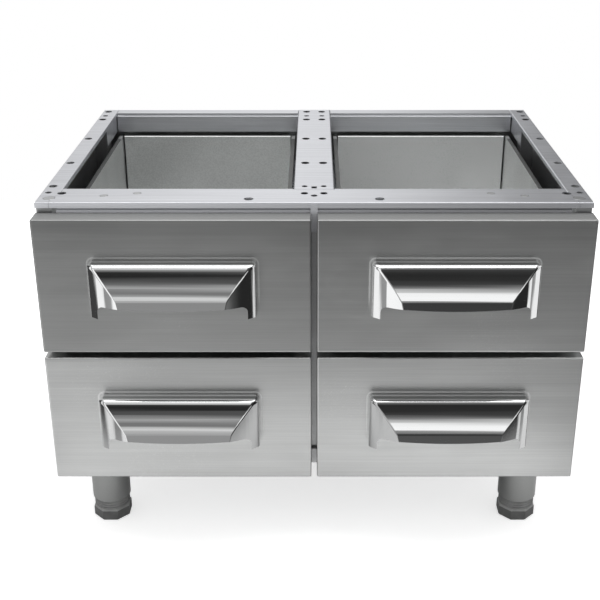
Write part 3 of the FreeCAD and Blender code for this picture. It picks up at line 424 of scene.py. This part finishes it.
def frame_finish(material):
    """The front lip is less metallic and rougher, with painted shade darkening it to the right; painted
    shade darkens its bend's highlight; the back skirt is painted lighter to the right.
    """
    tree, (x, y, _), (_, way_y, way_z) = surface(material)
    forward = fade(tree, way_y, *LOOKS_FORWARD)
    at_front = fade(tree, y, *LIP_Y)
    lip = product(tree, forward, at_front)
    bend = product(tree, stripe(tree, way_z, *BEND_LOOKS, BEND_SOFT), at_front)
    skirt = product(tree, forward, step(tree, y, *SKIRT_Y))
    metal = calc(tree, "SUBTRACT", 1.0, product(tree, lip, LIP_MATT))
    fit(tree, tree.nodes["Principled BSDF"].inputs["Metallic"], metal)
    tone = blend(tree, lip, 1.0, step(tree, x, *LIP_X, *LIP_TONES))
    tone = blend(tree, bend, tone, BEND_TONE)
    skirt_tone = blend(tree, skirt, 1.0, step(tree, x, *SKIRT_X, *SKIRT_TONES))
    return paint_light_and_dull(material, product(tree, tone, skirt_tone), lip)


# The feet. Highlights are painted on the cap's chamfers by the way they face, and its flats are painted
# darker.
CAP_TOP_Z = (0.0215, 0.0225)
UPPER_CHAMFER_LOOKS = (0.3, 0.95)
LOWER_CHAMFER_LOOKS = (-0.9, -0.3)
CHAMFER_SOFT = 0.05
LOWER_CHAMFER_SHARE = 0.45
CAP_TONES = (0.68, 1.9)
STEM_TONE = 1.35


def foot_finish(material):
    """Painted light and shade: the cap's flats are dark and highlights are painted on its two chamfers;
    the ribbed stem lies between.
    """
    tree, (_, _, z), (_, _, way_z) = surface(material)
    upper = stripe(tree, way_z, *UPPER_CHAMFER_LOOKS, CHAMFER_SOFT)
    lower = stripe(tree, way_z, *LOWER_CHAMFER_LOOKS, CHAMFER_SOFT)
    chamfer_highlight = calc(tree, "ADD", upper, product(tree, lower, LOWER_CHAMFER_SHARE))
    cap_tone = step(tree, chamfer_highlight, 0.0, 1.0, *CAP_TONES)
    return paint_light_and_dull(material, blend(tree, fade(tree, z, *CAP_TOP_Z), STEM_TONE, cap_tone))


# The handles. Painted shade darkens the lower row's cheeks and every flat top.
LOWER_ROW_Z = (0.27, 0.30)
LEAN_X = (-0.05, 0.05)
LEANS = (0.036, 0.02)
SLOPE_LOOKS = (-0.80, -0.75)
CHEEK_LOOKS = (0.22, 0.26)
CHEEK_SPREAD = 0.05
CHEEK_TONES = (0.48, 0.78)
LEDGE_LOOKS = (0.985, 0.995)
LEDGE_TONES = (1.0, 0.72)


def handle_finish(material):
    """In the lower row the shading leans up by a degree or two and painted shade darkens the cheeks.
    Painted shade darkens every flat top too."""
    tree, (x, _, z), (way_x, way_y, way_z) = surface(material)
    lower_row = fade(tree, z, *LOWER_ROW_Z)
    push = tree.nodes.new("ShaderNodeCombineXYZ")
    fit(tree, push.inputs["Z"], product(tree, lower_row, step(tree, x, *LEAN_X, *LEANS),
                                        fade(tree, way_y, *SLOPE_LOOKS)))
    normal = tree.nodes.new("ShaderNodeNewGeometry").outputs["Normal"]
    leaning = vector_calc(tree, "NORMALIZE", vector_calc(tree, "ADD", normal, push.outputs[0]))
    bump = tree.nodes["Principled BSDF"].inputs["Normal"].links[0].from_node
    fit(tree, bump.inputs["Normal"], leaning)
    cheek = product(tree, step(tree, calc(tree, "ABSOLUTE", way_x), *CHEEK_LOOKS), lower_row)
    cheek_tone = step(tree, calc(tree, "ABSOLUTE", x),
                      COLUMN_X - CHEEK_SPREAD, COLUMN_X + CHEEK_SPREAD, *CHEEK_TONES)
    ledge_tone = step(tree, way_z, *LEDGE_LOOKS, *LEDGE_TONES)
    return paint_light_and_dull(material, product(tree, blend(tree, cheek, 1.0, cheek_tone), ledge_tone))


# The drawer fronts, with light and shade painted on by height, by side and round the handles. A stop's
# place is its height as a share of TONE_HEIGHT.
TONE_HEIGHT = 0.6
FRONT_TONES = [(0.19, 0.89), (0.33, 1.08), (0.46, 1.18), (0.535, 1.13), (0.56, 0.94),
               (0.72, 0.87), (0.83, 0.76), (0.88, 0.62), (1.0, 0.60)]
ROW_GAP_Z = (0.31, 0.33)
LEFT_X = (-0.38, -0.2)
LEFT_TONES = (1.15, 0.85)
RIGHT_X = (-0.02, 0.3)
RIGHT_START = 1.2
RIGHT_TONES = (1.38, 1.55)
TOP_EDGE_Z = (0.45, 0.5)
TOP_EDGE_TONE = 0.72
HALO_CORNER = 0.006
HALO_RING = (0.0078, 0.0100)
HALO_SOFT = 0.001
HALO_RISE = 0.03
HALO_TONES = (1.0, 1.35)


def painted_halo(tree, x, z):
    """A soft ring of painted highlight on the front round the sides and the top of each handle."""
    beside = calc(tree, "ABSOLUTE", calc(tree, "SUBTRACT", calc(tree, "ABSOLUTE", x), COLUMN_X))
    beside = calc(tree, "MAXIMUM", calc(tree, "SUBTRACT", beside, HOOD_HALF - HALO_CORNER), 0.0)
    halo = 0.0
    for top in HANDLE_TOPS.values():
        above = calc(tree, "MAXIMUM", calc(tree, "SUBTRACT", z, top - HALO_CORNER), 0.0)
        ring = stripe(tree, distance(tree, beside, above), *HALO_RING, HALO_SOFT)
        foot = top - HOOD_DROP
        rise = step(tree, z, foot, foot + HALO_RISE)
        halo = calc(tree, "MAXIMUM", halo, product(tree, ring, rise))
    return halo


def front_finish(material):
    """Painted light and shade: the fronts are lightest at the middle height and at their right, darker
    and duller on the top edges, and lighter but duller in a painted highlight ring round the handles."""
    tree, (x, _, z), (_, _, way_z) = surface(material)
    top_edge = product(tree, step(tree, way_z, *LOOKS_UP), step(tree, z, *TOP_EDGE_Z))
    tone = profile(tree, calc(tree, "MULTIPLY", z, 1.0 / TONE_HEIGHT), FRONT_TONES)
    left = step(tree, x, *LEFT_X, step(tree, z, *ROW_GAP_Z, *LEFT_TONES), 1.0)
    right = step(tree, x, *RIGHT_X, RIGHT_START, step(tree, z, *ROW_GAP_Z, *RIGHT_TONES))
    halo = painted_halo(tree, x, z)
    gain = product(tree, left, right, tone, step(tree, halo, 0.0, 1.0, *HALO_TONES))
    return paint_light_and_dull(material, blend(tree, top_edge, gain, TOP_EDGE_TONE),
                calc(tree, "MAXIMUM", top_edge, halo))


# The trays. Painted shade darkens the rims, and painted light brightens the end wall on the right.
RIM_Z = (0.50, 0.505)
RIM_BACK_Y = (0.262, 0.268)
RIM_TONES = (0.22, 0.65)
END_LOOKS = (-0.9, -0.7)
END_X = (-0.02, 0.02)
END_TONE = 1.26


def tray_finish(material):
    """The turned-out rims are duller and painted darker as shade, and the end wall on the right is
    painted lighter.
    """
    tree, (x, y, z), (_, way_y, way_z) = surface(material)
    rim = product(tree, step(tree, way_z, *LOOKS_UP), step(tree, z, *RIM_Z))
    end = product(tree, fade(tree, way_y, *END_LOOKS), step(tree, x, *END_X))
    rim_tone = step(tree, y, *RIM_BACK_Y, *RIM_TONES)
    return paint_light_and_dull(material, blend(tree, rim, blend(tree, end, 1.0, END_TONE), rim_tone), rim)


FINISHES = {
    "frame_steel": frame_finish(ground_steel(
        "frame_ground_steel", dark=(0.64, 0.65, 0.68), light=(0.77, 0.78, 0.813),
        grain=(6.0, 500.0, 900.0), smooth=0.30, dull=0.40)),
    "panel_steel": rolled_steel(
        "panel_rolled_steel", dark=(0.49, 0.495, 0.50), light=(0.55, 0.555, 0.56),
        smooth=0.34, dull=0.38),
    "front_steel": front_finish(ground_steel(
        "front_ground_steel", dark=(0.48, 0.485, 0.482), light=(0.54, 0.546, 0.542),
        grain=(5.0, 900.0, 900.0), smooth=0.29, dull=0.35)),
    "tray_steel": tray_finish(rolled_steel(
        "tray_rolled_steel", dark=(0.72, 0.73, 0.724), light=(0.90, 0.911, 0.905),
        smooth=0.28, dull=0.38)),
    "runner_steel": zinc_plate(
        "runner_zinc", dark=(0.50, 0.52, 0.54), light=(0.66, 0.68, 0.71), smooth=0.24, dull=0.42),
    "leg_steel": turned_steel(
        "leg_turned_steel", dark=(0.35, 0.355, 0.35), light=(0.40, 0.405, 0.40),
        smooth=0.20, dull=0.27),
    "screw_steel": turned_steel(
        "screw_turned_steel", dark=(0.55, 0.55, 0.55), light=(0.70, 0.70, 0.71),
        smooth=0.18, dull=0.30),
    "handle_chrome": handle_finish(polished_steel(
        "handle_polished_steel", dark=(0.87, 0.88, 0.88), light=(0.95, 0.955, 0.955),
        smooth=0.03, dull=0.055)),
    "foot_plastic": foot_finish(moulded_plastic(
        "foot_grey_plastic", dark=(0.15, 0.152, 0.15), light=(0.21, 0.212, 0.21),
        smooth=0.34, dull=0.5)),
}


def dress_nodes():
    """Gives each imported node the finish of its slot; the flush plugs are darker than their rail."""
    plug_steel = turned_steel("plug_steel", dark=(0.42, 0.425, 0.43), light=(0.58, 0.585, 0.59),
                              smooth=0.30, dull=0.45)
    for name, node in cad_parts.items():
        for slot in node.material_slots:
            slot.material = plug_steel if name == "frame_plugs" else FINISHES[slot.material.name]


# Modelling helpers
def work_on(piece):
    bpy.ops.object.select_all(action="DESELECT")
    piece.select_set(True)
    bpy.context.view_layer.objects.active = piece


def start_editing(piece):
    work_on(piece)
    bpy.ops.object.mode_set(mode="EDIT")


def end_editing():
    bpy.ops.object.mode_set(mode="OBJECT")


def settle(piece):
    """Puts the piece's place into its mesh."""
    work_on(piece)
    bpy.ops.object.transform_apply(location=True, rotation=True, scale=True)


def block(name, low, high):
    """A block between two corners, with its place in its mesh."""
    low, high = Vector(low), Vector(high)
    bpy.ops.mesh.primitive_cube_add(size=1.0, location=(low + high) / 2)
    piece = bpy.context.object
    piece.name = name
    piece.scale = high - low
    settle(piece)
    return piece


def cylinder(name, facets, radius, depth, middle):
    """A cylinder along Y, with its place in its mesh."""
    bpy.ops.mesh.primitive_cylinder_add(vertices=facets, radius=radius, depth=depth,
                                        location=middle, rotation=(math.radians(90), 0.0, 0.0))
    piece = bpy.context.object
    piece.name = name
    settle(piece)
    return piece


def slice_off(point, way):
    """Cuts away what lies past a plane and closes the cut. In edit mode."""
    bpy.ops.mesh.select_all(action="SELECT")
    bpy.ops.mesh.bisect(plane_co=point, plane_no=way, use_fill=True, clear_outer=True,
                        threshold=1e-6)


def pick_edges(piece, wanted):
    """Selects, in edit mode, the edges whose two ends pass a test."""
    bpy.ops.mesh.select_mode(type="EDGE")
    bpy.ops.mesh.select_all(action="DESELECT")
    bpy.ops.object.mode_set(mode="OBJECT")
    points = piece.data.vertices
    for edge in piece.data.edges:
        first, second = (points[i].co for i in edge.vertices)
        edge.select = wanted(first, second)
    bpy.ops.object.mode_set(mode="EDIT")


def pick_faces(piece, wanted):
    """Selects, in edit mode, the faces whose normal passes a test."""
    bpy.ops.mesh.select_mode(type="FACE")
    bpy.ops.mesh.select_all(action="DESELECT")
    bpy.ops.object.mode_set(mode="OBJECT")
    for face in piece.data.polygons:
        face.select = wanted(face.normal)
    bpy.ops.object.mode_set(mode="EDIT")


def apply_modifier(piece, kind, **settings):
    work_on(piece)
    modifier = piece.modifiers.new(kind.lower(), kind)
    for name, value in settings.items():
        setattr(modifier, name, value)
    bpy.ops.object.modifier_apply(modifier=modifier.name)


# The hooded handle. Its origin is the middle of its top edge, on the drawer front's face.
# Sizes are in metres, and turns in degrees: 0 looks to the front, or sideways on a cheek.
HOOD_SHEET = 0.0015
HOOD_FLAT = 0.0138
TOP_BEND = 0.012
TOP_LEANS = range(84, 38, -9)
TOP_TURN = 30.0
SLOPE_TURN = 9.0
SLOPE_DROP = 0.0497
SLOPE_END = 0.0397
LIP_TURN = 4.0
LIP_HALF = 0.0740
LIP_DROP = 0.060
LIP_BOW = 0.003
SIDE_LEDGE = 0.0150
SIDE_BEND = 0.004
SIDE_TURNS = range(7, 43, 7)
CHEEK_TURN = 50.0
CHEEK_END = 75.0
ARC_STEPS = 8
CREASE_BEND = 0.0065
CREASE_STEP = 4.8
LEG_WIDTH = 0.012
ARCH_ROUND = 0.010
ARCH_STEPS = 10
SMOOTH_UNDER = 32.0

# Room past the hood on the shapes that cut it, and its length below that is trimmed off later
SPARE = 0.01
HEM = 0.012
BOW_FACETS = 720
BOW_DEPTH = 0.08
BOW_Y = -0.02

# The strip inside the hood and its nuts. A nut's ends are inset by a width and a height each.
STRIP_HALF = 0.100
STRIP_TOP = -0.0012
STRIP_FOOT = -0.013
STRIP_EDGE = 0.0003
NUT_X = 0.080
NUT_Z = -0.008
NUT_RADIUS = 0.0050
NUT_LENGTH = 0.0045
NUT_INSETS = ((0.0009, 0.0004), (0.0016, 0.0), (0.0002, -0.0016))

# Parts of a normal: a face that looks straight one way, and one on the hood's open sides
STRAIGHT = 0.9
OPEN_SIDE = 0.5


def arc_turns(first, last):
    """The turns in radians along a round stretch between two turns."""
    return [first + (last - first) * count / ARC_STEPS for count in range(ARC_STEPS + 1)]


def cheek_line():
    """The hood's outline seen from above, from its side round to its lip: a turn and a place each."""
    places = []
    for degrees in SIDE_TURNS:
        turn = math.radians(degrees)
        places.append((turn, HOOD_HALF - SIDE_BEND * (1.0 - math.cos(turn)),
                       -SIDE_LEDGE - SIDE_BEND * math.sin(turn)))
    first, last = math.radians(CHEEK_TURN), math.radians(CHEEK_END)
    start_x = HOOD_HALF - SIDE_BEND * (1.0 - math.cos(first))
    start_y = -SIDE_LEDGE - SIDE_BEND * math.sin(first)
    radius = (start_x - LIP_HALF) / (math.cos(first) - math.cos(last))
    for turn in arc_turns(first, last):
        places.append((turn, start_x - radius * (math.cos(first) - math.cos(turn)),
                       start_y - radius * (math.sin(turn) - math.sin(first))))
    return places


def front_plane(y, z, turn):
    """The plane through a point of the hood's profile, turned up from the front."""
    way = (0.0, -math.cos(turn), math.sin(turn))
    return way, y * way[1] + z * way[2]


def sheet_planes():
    """Planes that touch the pressed hood, each as a direction and its distance from the origin."""
    planes = [((0.0, 0.0, 1.0), 0.0), ((1.0, 0.0, 0.0), HOOD_HALF), ((-1.0, 0.0, 0.0), HOOD_HALF)]
    for lean in TOP_LEANS:
        turn = math.radians(lean)
        planes.append(front_plane(-HOOD_FLAT - TOP_BEND * math.cos(turn),
                                  TOP_BEND * (math.sin(turn) - 1.0), turn))
    first, last = math.radians(TOP_TURN), math.radians(SLOPE_TURN)
    top_z = TOP_BEND * (math.sin(first) - 1.0)
    radius = (SLOPE_DROP + top_z) / (math.sin(first) - math.sin(last))
    for turn in arc_turns(first, last):
        planes.append(front_plane(-SLOPE_END - radius * (math.cos(turn) - math.cos(last)),
                                  -SLOPE_DROP + radius * (math.sin(turn) - math.sin(last)), turn))
    planes.append(front_plane(-SLOPE_END, -SLOPE_DROP, math.radians(LIP_TURN)))
    for turn, x, y in cheek_line():
        for side in (-1.0, 1.0):
            way = (side * math.cos(turn), -math.sin(turn), 0.0)
            planes.append((way, side * x * way[0] + y * way[1]))
    return planes


def carve(name, planes, inset):
    """A block cut to a convex shape by planes, each moved inwards by the inset."""
    piece = block(name, (-HOOD_HALF - SPARE, -HOOD_REACH - SPARE, -HOOD_DROP - HEM),
                  (HOOD_HALF + SPARE, SPARE, SPARE))
    start_editing(piece)
    for way, reach in planes:
        slice_off(Vector(way) * (reach - inset), way)
    end_editing()
    return piece


def crease_planes(core):
    """Planes that round the creases of a convex core over the sheet's bend radius."""
    faces = {}
    for face in core.data.polygons:
        for key in face.edge_keys:
            faces.setdefault(key, []).append(face.normal)
    points = [vertex.co for vertex in core.data.vertices]
    planes = []
    for first, second in faces.values():
        if max(first.y, second.y) > OPEN_SIDE or min(first.z, second.z) < -OPEN_SIDE:
            continue
        steps = math.ceil(math.degrees(first.angle(second)) / CREASE_STEP)
        for count in range(1, steps):
            way = first.slerp(second, count / steps)
            planes.append((tuple(way), max(point.dot(way) for point in points) + CREASE_BEND))
    return planes


def press_hood():
    """The outside of the hood as an open skin, pressed out of one blank."""
    planes = sheet_planes()
    core = carve("hood_core", planes, CREASE_BEND)
    planes += crease_planes(core)
    bpy.data.objects.remove(core)
    hood = carve("hood", planes, 0.0)
    start_editing(hood)
    pick_faces(hood, lambda normal: normal.y > STRAIGHT or normal.z < -STRAIGHT)
    bpy.ops.mesh.delete(type="FACE")
    bpy.ops.mesh.select_all(action="SELECT")
    bpy.ops.mesh.remove_doubles(threshold=2e-6)
    end_editing()
    return hood


def make_arch():
    """The shape that opens the hood under its lip: rounded corners and a bowed top."""
    opening = HOOD_HALF - LEG_WIDTH
    loose = 1e-5
    arch = block("arch", (-opening, -HOOD_REACH - SPARE, -HOOD_DROP - SPARE),
                 (opening, SPARE, -LIP_DROP))
    start_editing(arch)
    pick_edges(arch, lambda first, second: abs(first.x - second.x) < loose
               and abs(first.z + LIP_DROP) < loose and abs(second.z + LIP_DROP) < loose)
    bpy.ops.mesh.bevel(offset=ARCH_ROUND, segments=ARCH_STEPS, profile=0.5, affect="EDGES")
    end_editing()
    radius = (LIP_HALF ** 2 + LIP_BOW ** 2) / (2 * LIP_BOW)
    bow = cylinder("bow", BOW_FACETS, radius, BOW_DEPTH,
                   (0.0, BOW_Y, radius - LIP_DROP - LIP_BOW))
    apply_modifier(arch, "BOOLEAN", operation="DIFFERENCE", object=bow, solver="EXACT")
    bpy.data.objects.remove(bow)
    return arch


def cut_hood(hood):
    """Gives the pressed skin its thickness, trims it to its depth and opens its arch."""
    apply_modifier(hood, "SOLIDIFY", thickness=HOOD_SHEET, offset=-1.0, use_even_offset=True)
    start_editing(hood)
    slice_off((0.0, 0.0, 0.0), (0.0, 1.0, 0.0))
    slice_off((0.0, 0.0, -HOOD_DROP), (0.0, 0.0, -1.0))
    end_editing()
    arch = make_arch()
    apply_modifier(hood, "BOOLEAN", operation="DIFFERENCE", object=arch, solver="EXACT")
    bpy.data.objects.remove(arch)


def make_nut(x):
    nut = cylinder("nut", 6, NUT_RADIUS, NUT_LENGTH, (x, -HOOD_SHEET - NUT_LENGTH / 2, NUT_Z))
    start_editing(nut)
    pick_faces(nut, lambda normal: abs(normal.y) > STRAIGHT)
    for thickness, depth in NUT_INSETS:
        bpy.ops.mesh.inset(thickness=thickness, depth=depth)
    end_editing()
    return nut


def make_hood_fixings():
    """The strip inside the hood that its two screws hold, with its nuts."""
    strip = block("strip", (-STRIP_HALF, -HOOD_SHEET, STRIP_FOOT), (STRIP_HALF, 0.0, STRIP_TOP))
    nuts = [make_nut(x) for x in (-NUT_X, NUT_X)]
    apply_modifier(strip, "BEVEL", width=STRIP_EDGE, segments=2)
    return [strip, *nuts]


def make_hood():
    """One handle at the origin: the hood, its strip and its nuts in one piece."""
    hood = press_hood()
    cut_hood(hood)
    fixings = make_hood_fixings()
    work_on(hood)
    for piece in fixings:
        piece.select_set(True)
    bpy.ops.object.join()
    start_editing(hood)
    bpy.ops.mesh.select_all(action="SELECT")
    bpy.ops.mesh.remove_doubles(threshold=1e-6)
    end_editing()
    bpy.ops.object.shade_smooth_by_angle(angle=math.radians(SMOOTH_UNDER))
    apply_modifier(hood, "WEIGHTED_NORMAL", mode="FACE_AREA", weight=50, keep_sharp=True)
    hood.data.materials.clear()
    hood.data.materials.append(FINISHES["handle_chrome"])
    return hood


def make_handles():
    hood = make_hood()
    for row in ROWS:
        for column, side in COLUMNS.items():
            place = row + "_" + column
            work_on(hood)
            bpy.ops.object.duplicate()
            handle = bpy.context.object
            handle.name = "pressed_handle_" + place
            handle.location = (side * COLUMN_X, FACE_Y, HANDLE_TOPS[row])
            settle(handle)
            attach(handle, "drawer_" + place)
            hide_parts("handle_" + place)
    bpy.data.objects.remove(hood)


# The floor, in metres. NEAR and FAR are where the steel starts and ends to lose sight of it.
FLOOR_SIZE = 2.8
FLOOR_Y = 0.05
FLOOR_Z = -0.0002
FLOOR_GREYS = ((0.80, 0.80, 0.80), (0.84, 0.84, 0.84))
FLOOR_WHITE = 0.62
FLOOR_LIFT = 0.30
FLOOR_NEAR = 0.58
FLOOR_FAR = 0.90
FLOOR_SQUEEZE = 0.92
UNDER_X = 0.38
UNDER_Y = (-0.26, 0.30)
UNDER_SOFT = 0.04
LIFT_X = 0.46
LIFT_SOFT = 0.06
LIFT_Y = (-0.46, -0.38)


def floor_paint(tree, place, x, y, path):
    """Pale paint that the camera sees lifted to white. Before the unit, a painted glow that only the
    steel sees lifts it further, and leaves out the floor under the unit.
    """
    paint = tree.nodes.new("ShaderNodeBsdfDiffuse")
    fit(tree, paint.inputs["Color"], tint(tree, cloud(tree, place, scale=60.0), *FLOOR_GREYS))
    under = product(tree, stripe(tree, x, -UNDER_X, UNDER_X, UNDER_SOFT),
                    stripe(tree, y, *UNDER_Y, UNDER_SOFT))
    lift = product(tree, step(tree, under, 0.0, 1.0, FLOOR_LIFT, 0.0),
                   stripe(tree, x, -LIFT_X, LIFT_X, LIFT_SOFT), fade(tree, y, *LIFT_Y),
                   path["Is Glossy Ray"])
    seen = product(tree, path["Is Camera Ray"], FLOOR_WHITE)
    glow = tree.nodes.new("ShaderNodeEmission")
    glow.inputs["Color"].default_value = WHITE
    fit(tree, glow.inputs["Strength"], calc(tree, "ADD", lift, seen))
    both = tree.nodes.new("ShaderNodeAddShader")
    fit(tree, both.inputs[0], paint.outputs[0])
    fit(tree, both.inputs[1], glow.outputs[0])
    return both.outputs[0]


def floor_finish():
    """The floor's material. Far from the unit the steel looks through it into the studio."""
    material = bpy.data.materials.new("pale_floor")
    material.use_nodes = True
    tree = material.node_tree
    tree.nodes.remove(tree.nodes["Principled BSDF"])
    place = coordinates(tree, "Object")
    x, y, _ = split(tree, place)
    path = tree.nodes.new("ShaderNodeLightPath").outputs
    far = distance(tree, product(tree, x, FLOOR_SQUEEZE), calc(tree, "SUBTRACT", y, FLOOR_Y))
    mixed = tree.nodes.new("ShaderNodeMixShader")
    fit(tree, mixed.inputs[0], product(tree, step(tree, far, FLOOR_NEAR, FLOOR_FAR),
                                       path["Is Glossy Ray"]))
    fit(tree, mixed.inputs[1], floor_paint(tree, place, x, y, path))
    fit(tree, mixed.inputs[2], tree.nodes.new("ShaderNodeBsdfTransparent").outputs[0])
    fit(tree, tree.nodes["Material Output"].inputs["Surface"], mixed.outputs[0])
    return material


def build_floor():
    bpy.ops.mesh.primitive_plane_add(size=FLOOR_SIZE, location=(0.0, FLOOR_Y, FLOOR_Z))
    floor = bpy.context.object
    floor.name = "studio_floor"
    settle(floor)
    floor.data.materials.append(floor_finish())


# The studio that the steel reflects.
# Brightness against height of the direction: 0 is straight down, 0.5 the horizon, 1 straight up.
LEFT_SKY = [(0.0, 0.60), (0.24, 0.50), (0.31, 0.25), (0.345, 0.30), (0.375, 0.25), (0.405, 0.27),
            (0.425, 0.36), (0.463, 0.42), (0.497, 0.70), (0.52, 0.44), (0.542, 0.20), (0.565, 0.19),
            (0.59, 0.25), (0.618, 0.40), (0.639, 0.26), (0.66, 0.16), (0.679, 0.085),
            (0.705, 0.078), (0.738, 0.02), (0.766, 0.025), (0.784, 0.08), (0.802, 0.28),
            (0.88, 0.56), (0.947, 0.85), (0.975, 1.0), (1.0, 1.0)]
RIGHT_SKY = [(0.0, 0.55), (0.24, 0.38), (0.31, 0.10), (0.375, 0.036), (0.435, 0.05), (0.46, 0.35),
             (0.472, 0.90), (0.487, 1.0), (0.545, 0.95), (0.576, 0.60), (0.597, 0.44),
             (0.618, 0.24), (0.635, 0.11), (0.655, 0.055), (0.70, 0.028), (0.757, 0.022),
             (0.793, 0.04), (0.88, 0.10), (0.947, 0.22), (0.985, 0.5), (1.0, 0.8)]
# Brightness round the horizon: 0 and 1 are behind the unit, 0.5 in front, below 0.5 on its left.
ROUND = [(0.0, 1.0), (0.02, 0.90), (0.05, 0.58), (0.08, 0.50), (0.12, 0.30), (0.16, 0.05),
         (0.278, 0.05), (0.287, 0.95), (0.319, 0.95), (0.326, 0.28), (0.351, 0.32), (0.359, 1.0),
         (0.425, 1.0), (0.45, 0.2), (0.60, 0.08), (0.64, 0.02), (0.695, 0.02), (0.700, 0.9),
         (0.709, 0.9), (0.714, 0.25), (0.722, 0.25), (0.727, 0.9), (0.775, 0.9), (0.79, 0.20),
         (0.93, 0.05), (0.95, 0.07), (0.97, 0.24), (0.985, 0.76), (1.0, 1.0)]
MIDDLE_X = (-0.05, 0.05)
FRONT_TURNS = (0.445, 0.60)
FRONT_SOFT = 0.015
TOP_HEIGHTS = (0.80, 0.90)
TOP_LIGHT = 0.55
WORLD_LIGHT = 0.75


def build_world():
    """White to the camera; the steel sees a soft studio of panels, strips and dark gaps."""
    world = bpy.data.worlds.new("studio")
    bpy.context.scene.world = world
    world.use_nodes = True
    tree = world.node_tree
    background = tree.nodes["Background"]
    x, y, z = split(tree, coordinates(tree, "Generated"))
    height = calc(tree, "MULTIPLY_ADD", z, 0.5, 0.5)
    turn = calc(tree, "ARCTAN2", x, product(tree, y, -1.0))
    turn = calc(tree, "MULTIPLY_ADD", turn, 0.5 / math.pi, 0.5)
    before = blend(tree, step(tree, x, *MIDDLE_X),
                   profile(tree, height, LEFT_SKY), profile(tree, height, RIGHT_SKY))
    beside = blend(tree, fade(tree, height, *TOP_HEIGHTS), TOP_LIGHT, profile(tree, turn, ROUND))
    studio = blend(tree, stripe(tree, turn, *FRONT_TURNS, FRONT_SOFT), beside, before)
    path = tree.nodes.new("ShaderNodeLightPath").outputs
    light = blend(tree, path["Is Glossy Ray"], WORLD_LIGHT, studio)
    fit(tree, background.inputs["Strength"], blend(tree, path["Is Camera Ray"], light, 1.0))
    background.inputs["Color"].default_value = WHITE


LAMP_PLACE = (0.0, 0.1, 2.4)
LAMP_SIZE = (2.4, 2.0)
LAMP_POWER = 30.0


def hang_lamp():
    """A large lamp overhead that looks at the unit and that the camera doesn't see."""
    lamp = bpy.data.lights.new("overhead", "AREA")
    lamp.shape = "RECTANGLE"
    lamp.size, lamp.size_y = LAMP_SIZE
    lamp.energy = LAMP_POWER
    holder = bpy.data.objects.new("overhead", lamp)
    bpy.context.scene.collection.objects.link(holder)
    holder.location = LAMP_PLACE
    holder.rotation_euler = (-Vector(LAMP_PLACE)).to_track_quat("-Z", "Y").to_euler()
    holder.visible_camera = False


# The camera of the photo: metres, degrees up from straight down, millimetres, share of the width
CAMERA_PLACE = (0.0, -1.7067, 1.0335)
CAMERA_TILT = 66.624
CAMERA_LENS = 64.465
CAMERA_SENSOR = 36.0
CAMERA_SHIFT = -0.02361


def set_camera():
    camera = bpy.data.cameras.new("camera")
    camera.lens = CAMERA_LENS
    camera.sensor_width = CAMERA_SENSOR
    camera.shift_x = CAMERA_SHIFT
    holder = bpy.data.objects.new("camera", camera)
    bpy.context.scene.collection.objects.link(holder)
    holder.location = CAMERA_PLACE
    holder.rotation_euler = (math.radians(CAMERA_TILT), 0.0, 0.0)
    bpy.context.scene.camera = holder


dress_nodes()
make_handles()
build_floor()
build_world()
hang_lamp()
set_camera()
bpy.context.scene.view_settings.view_transform = "Standard"
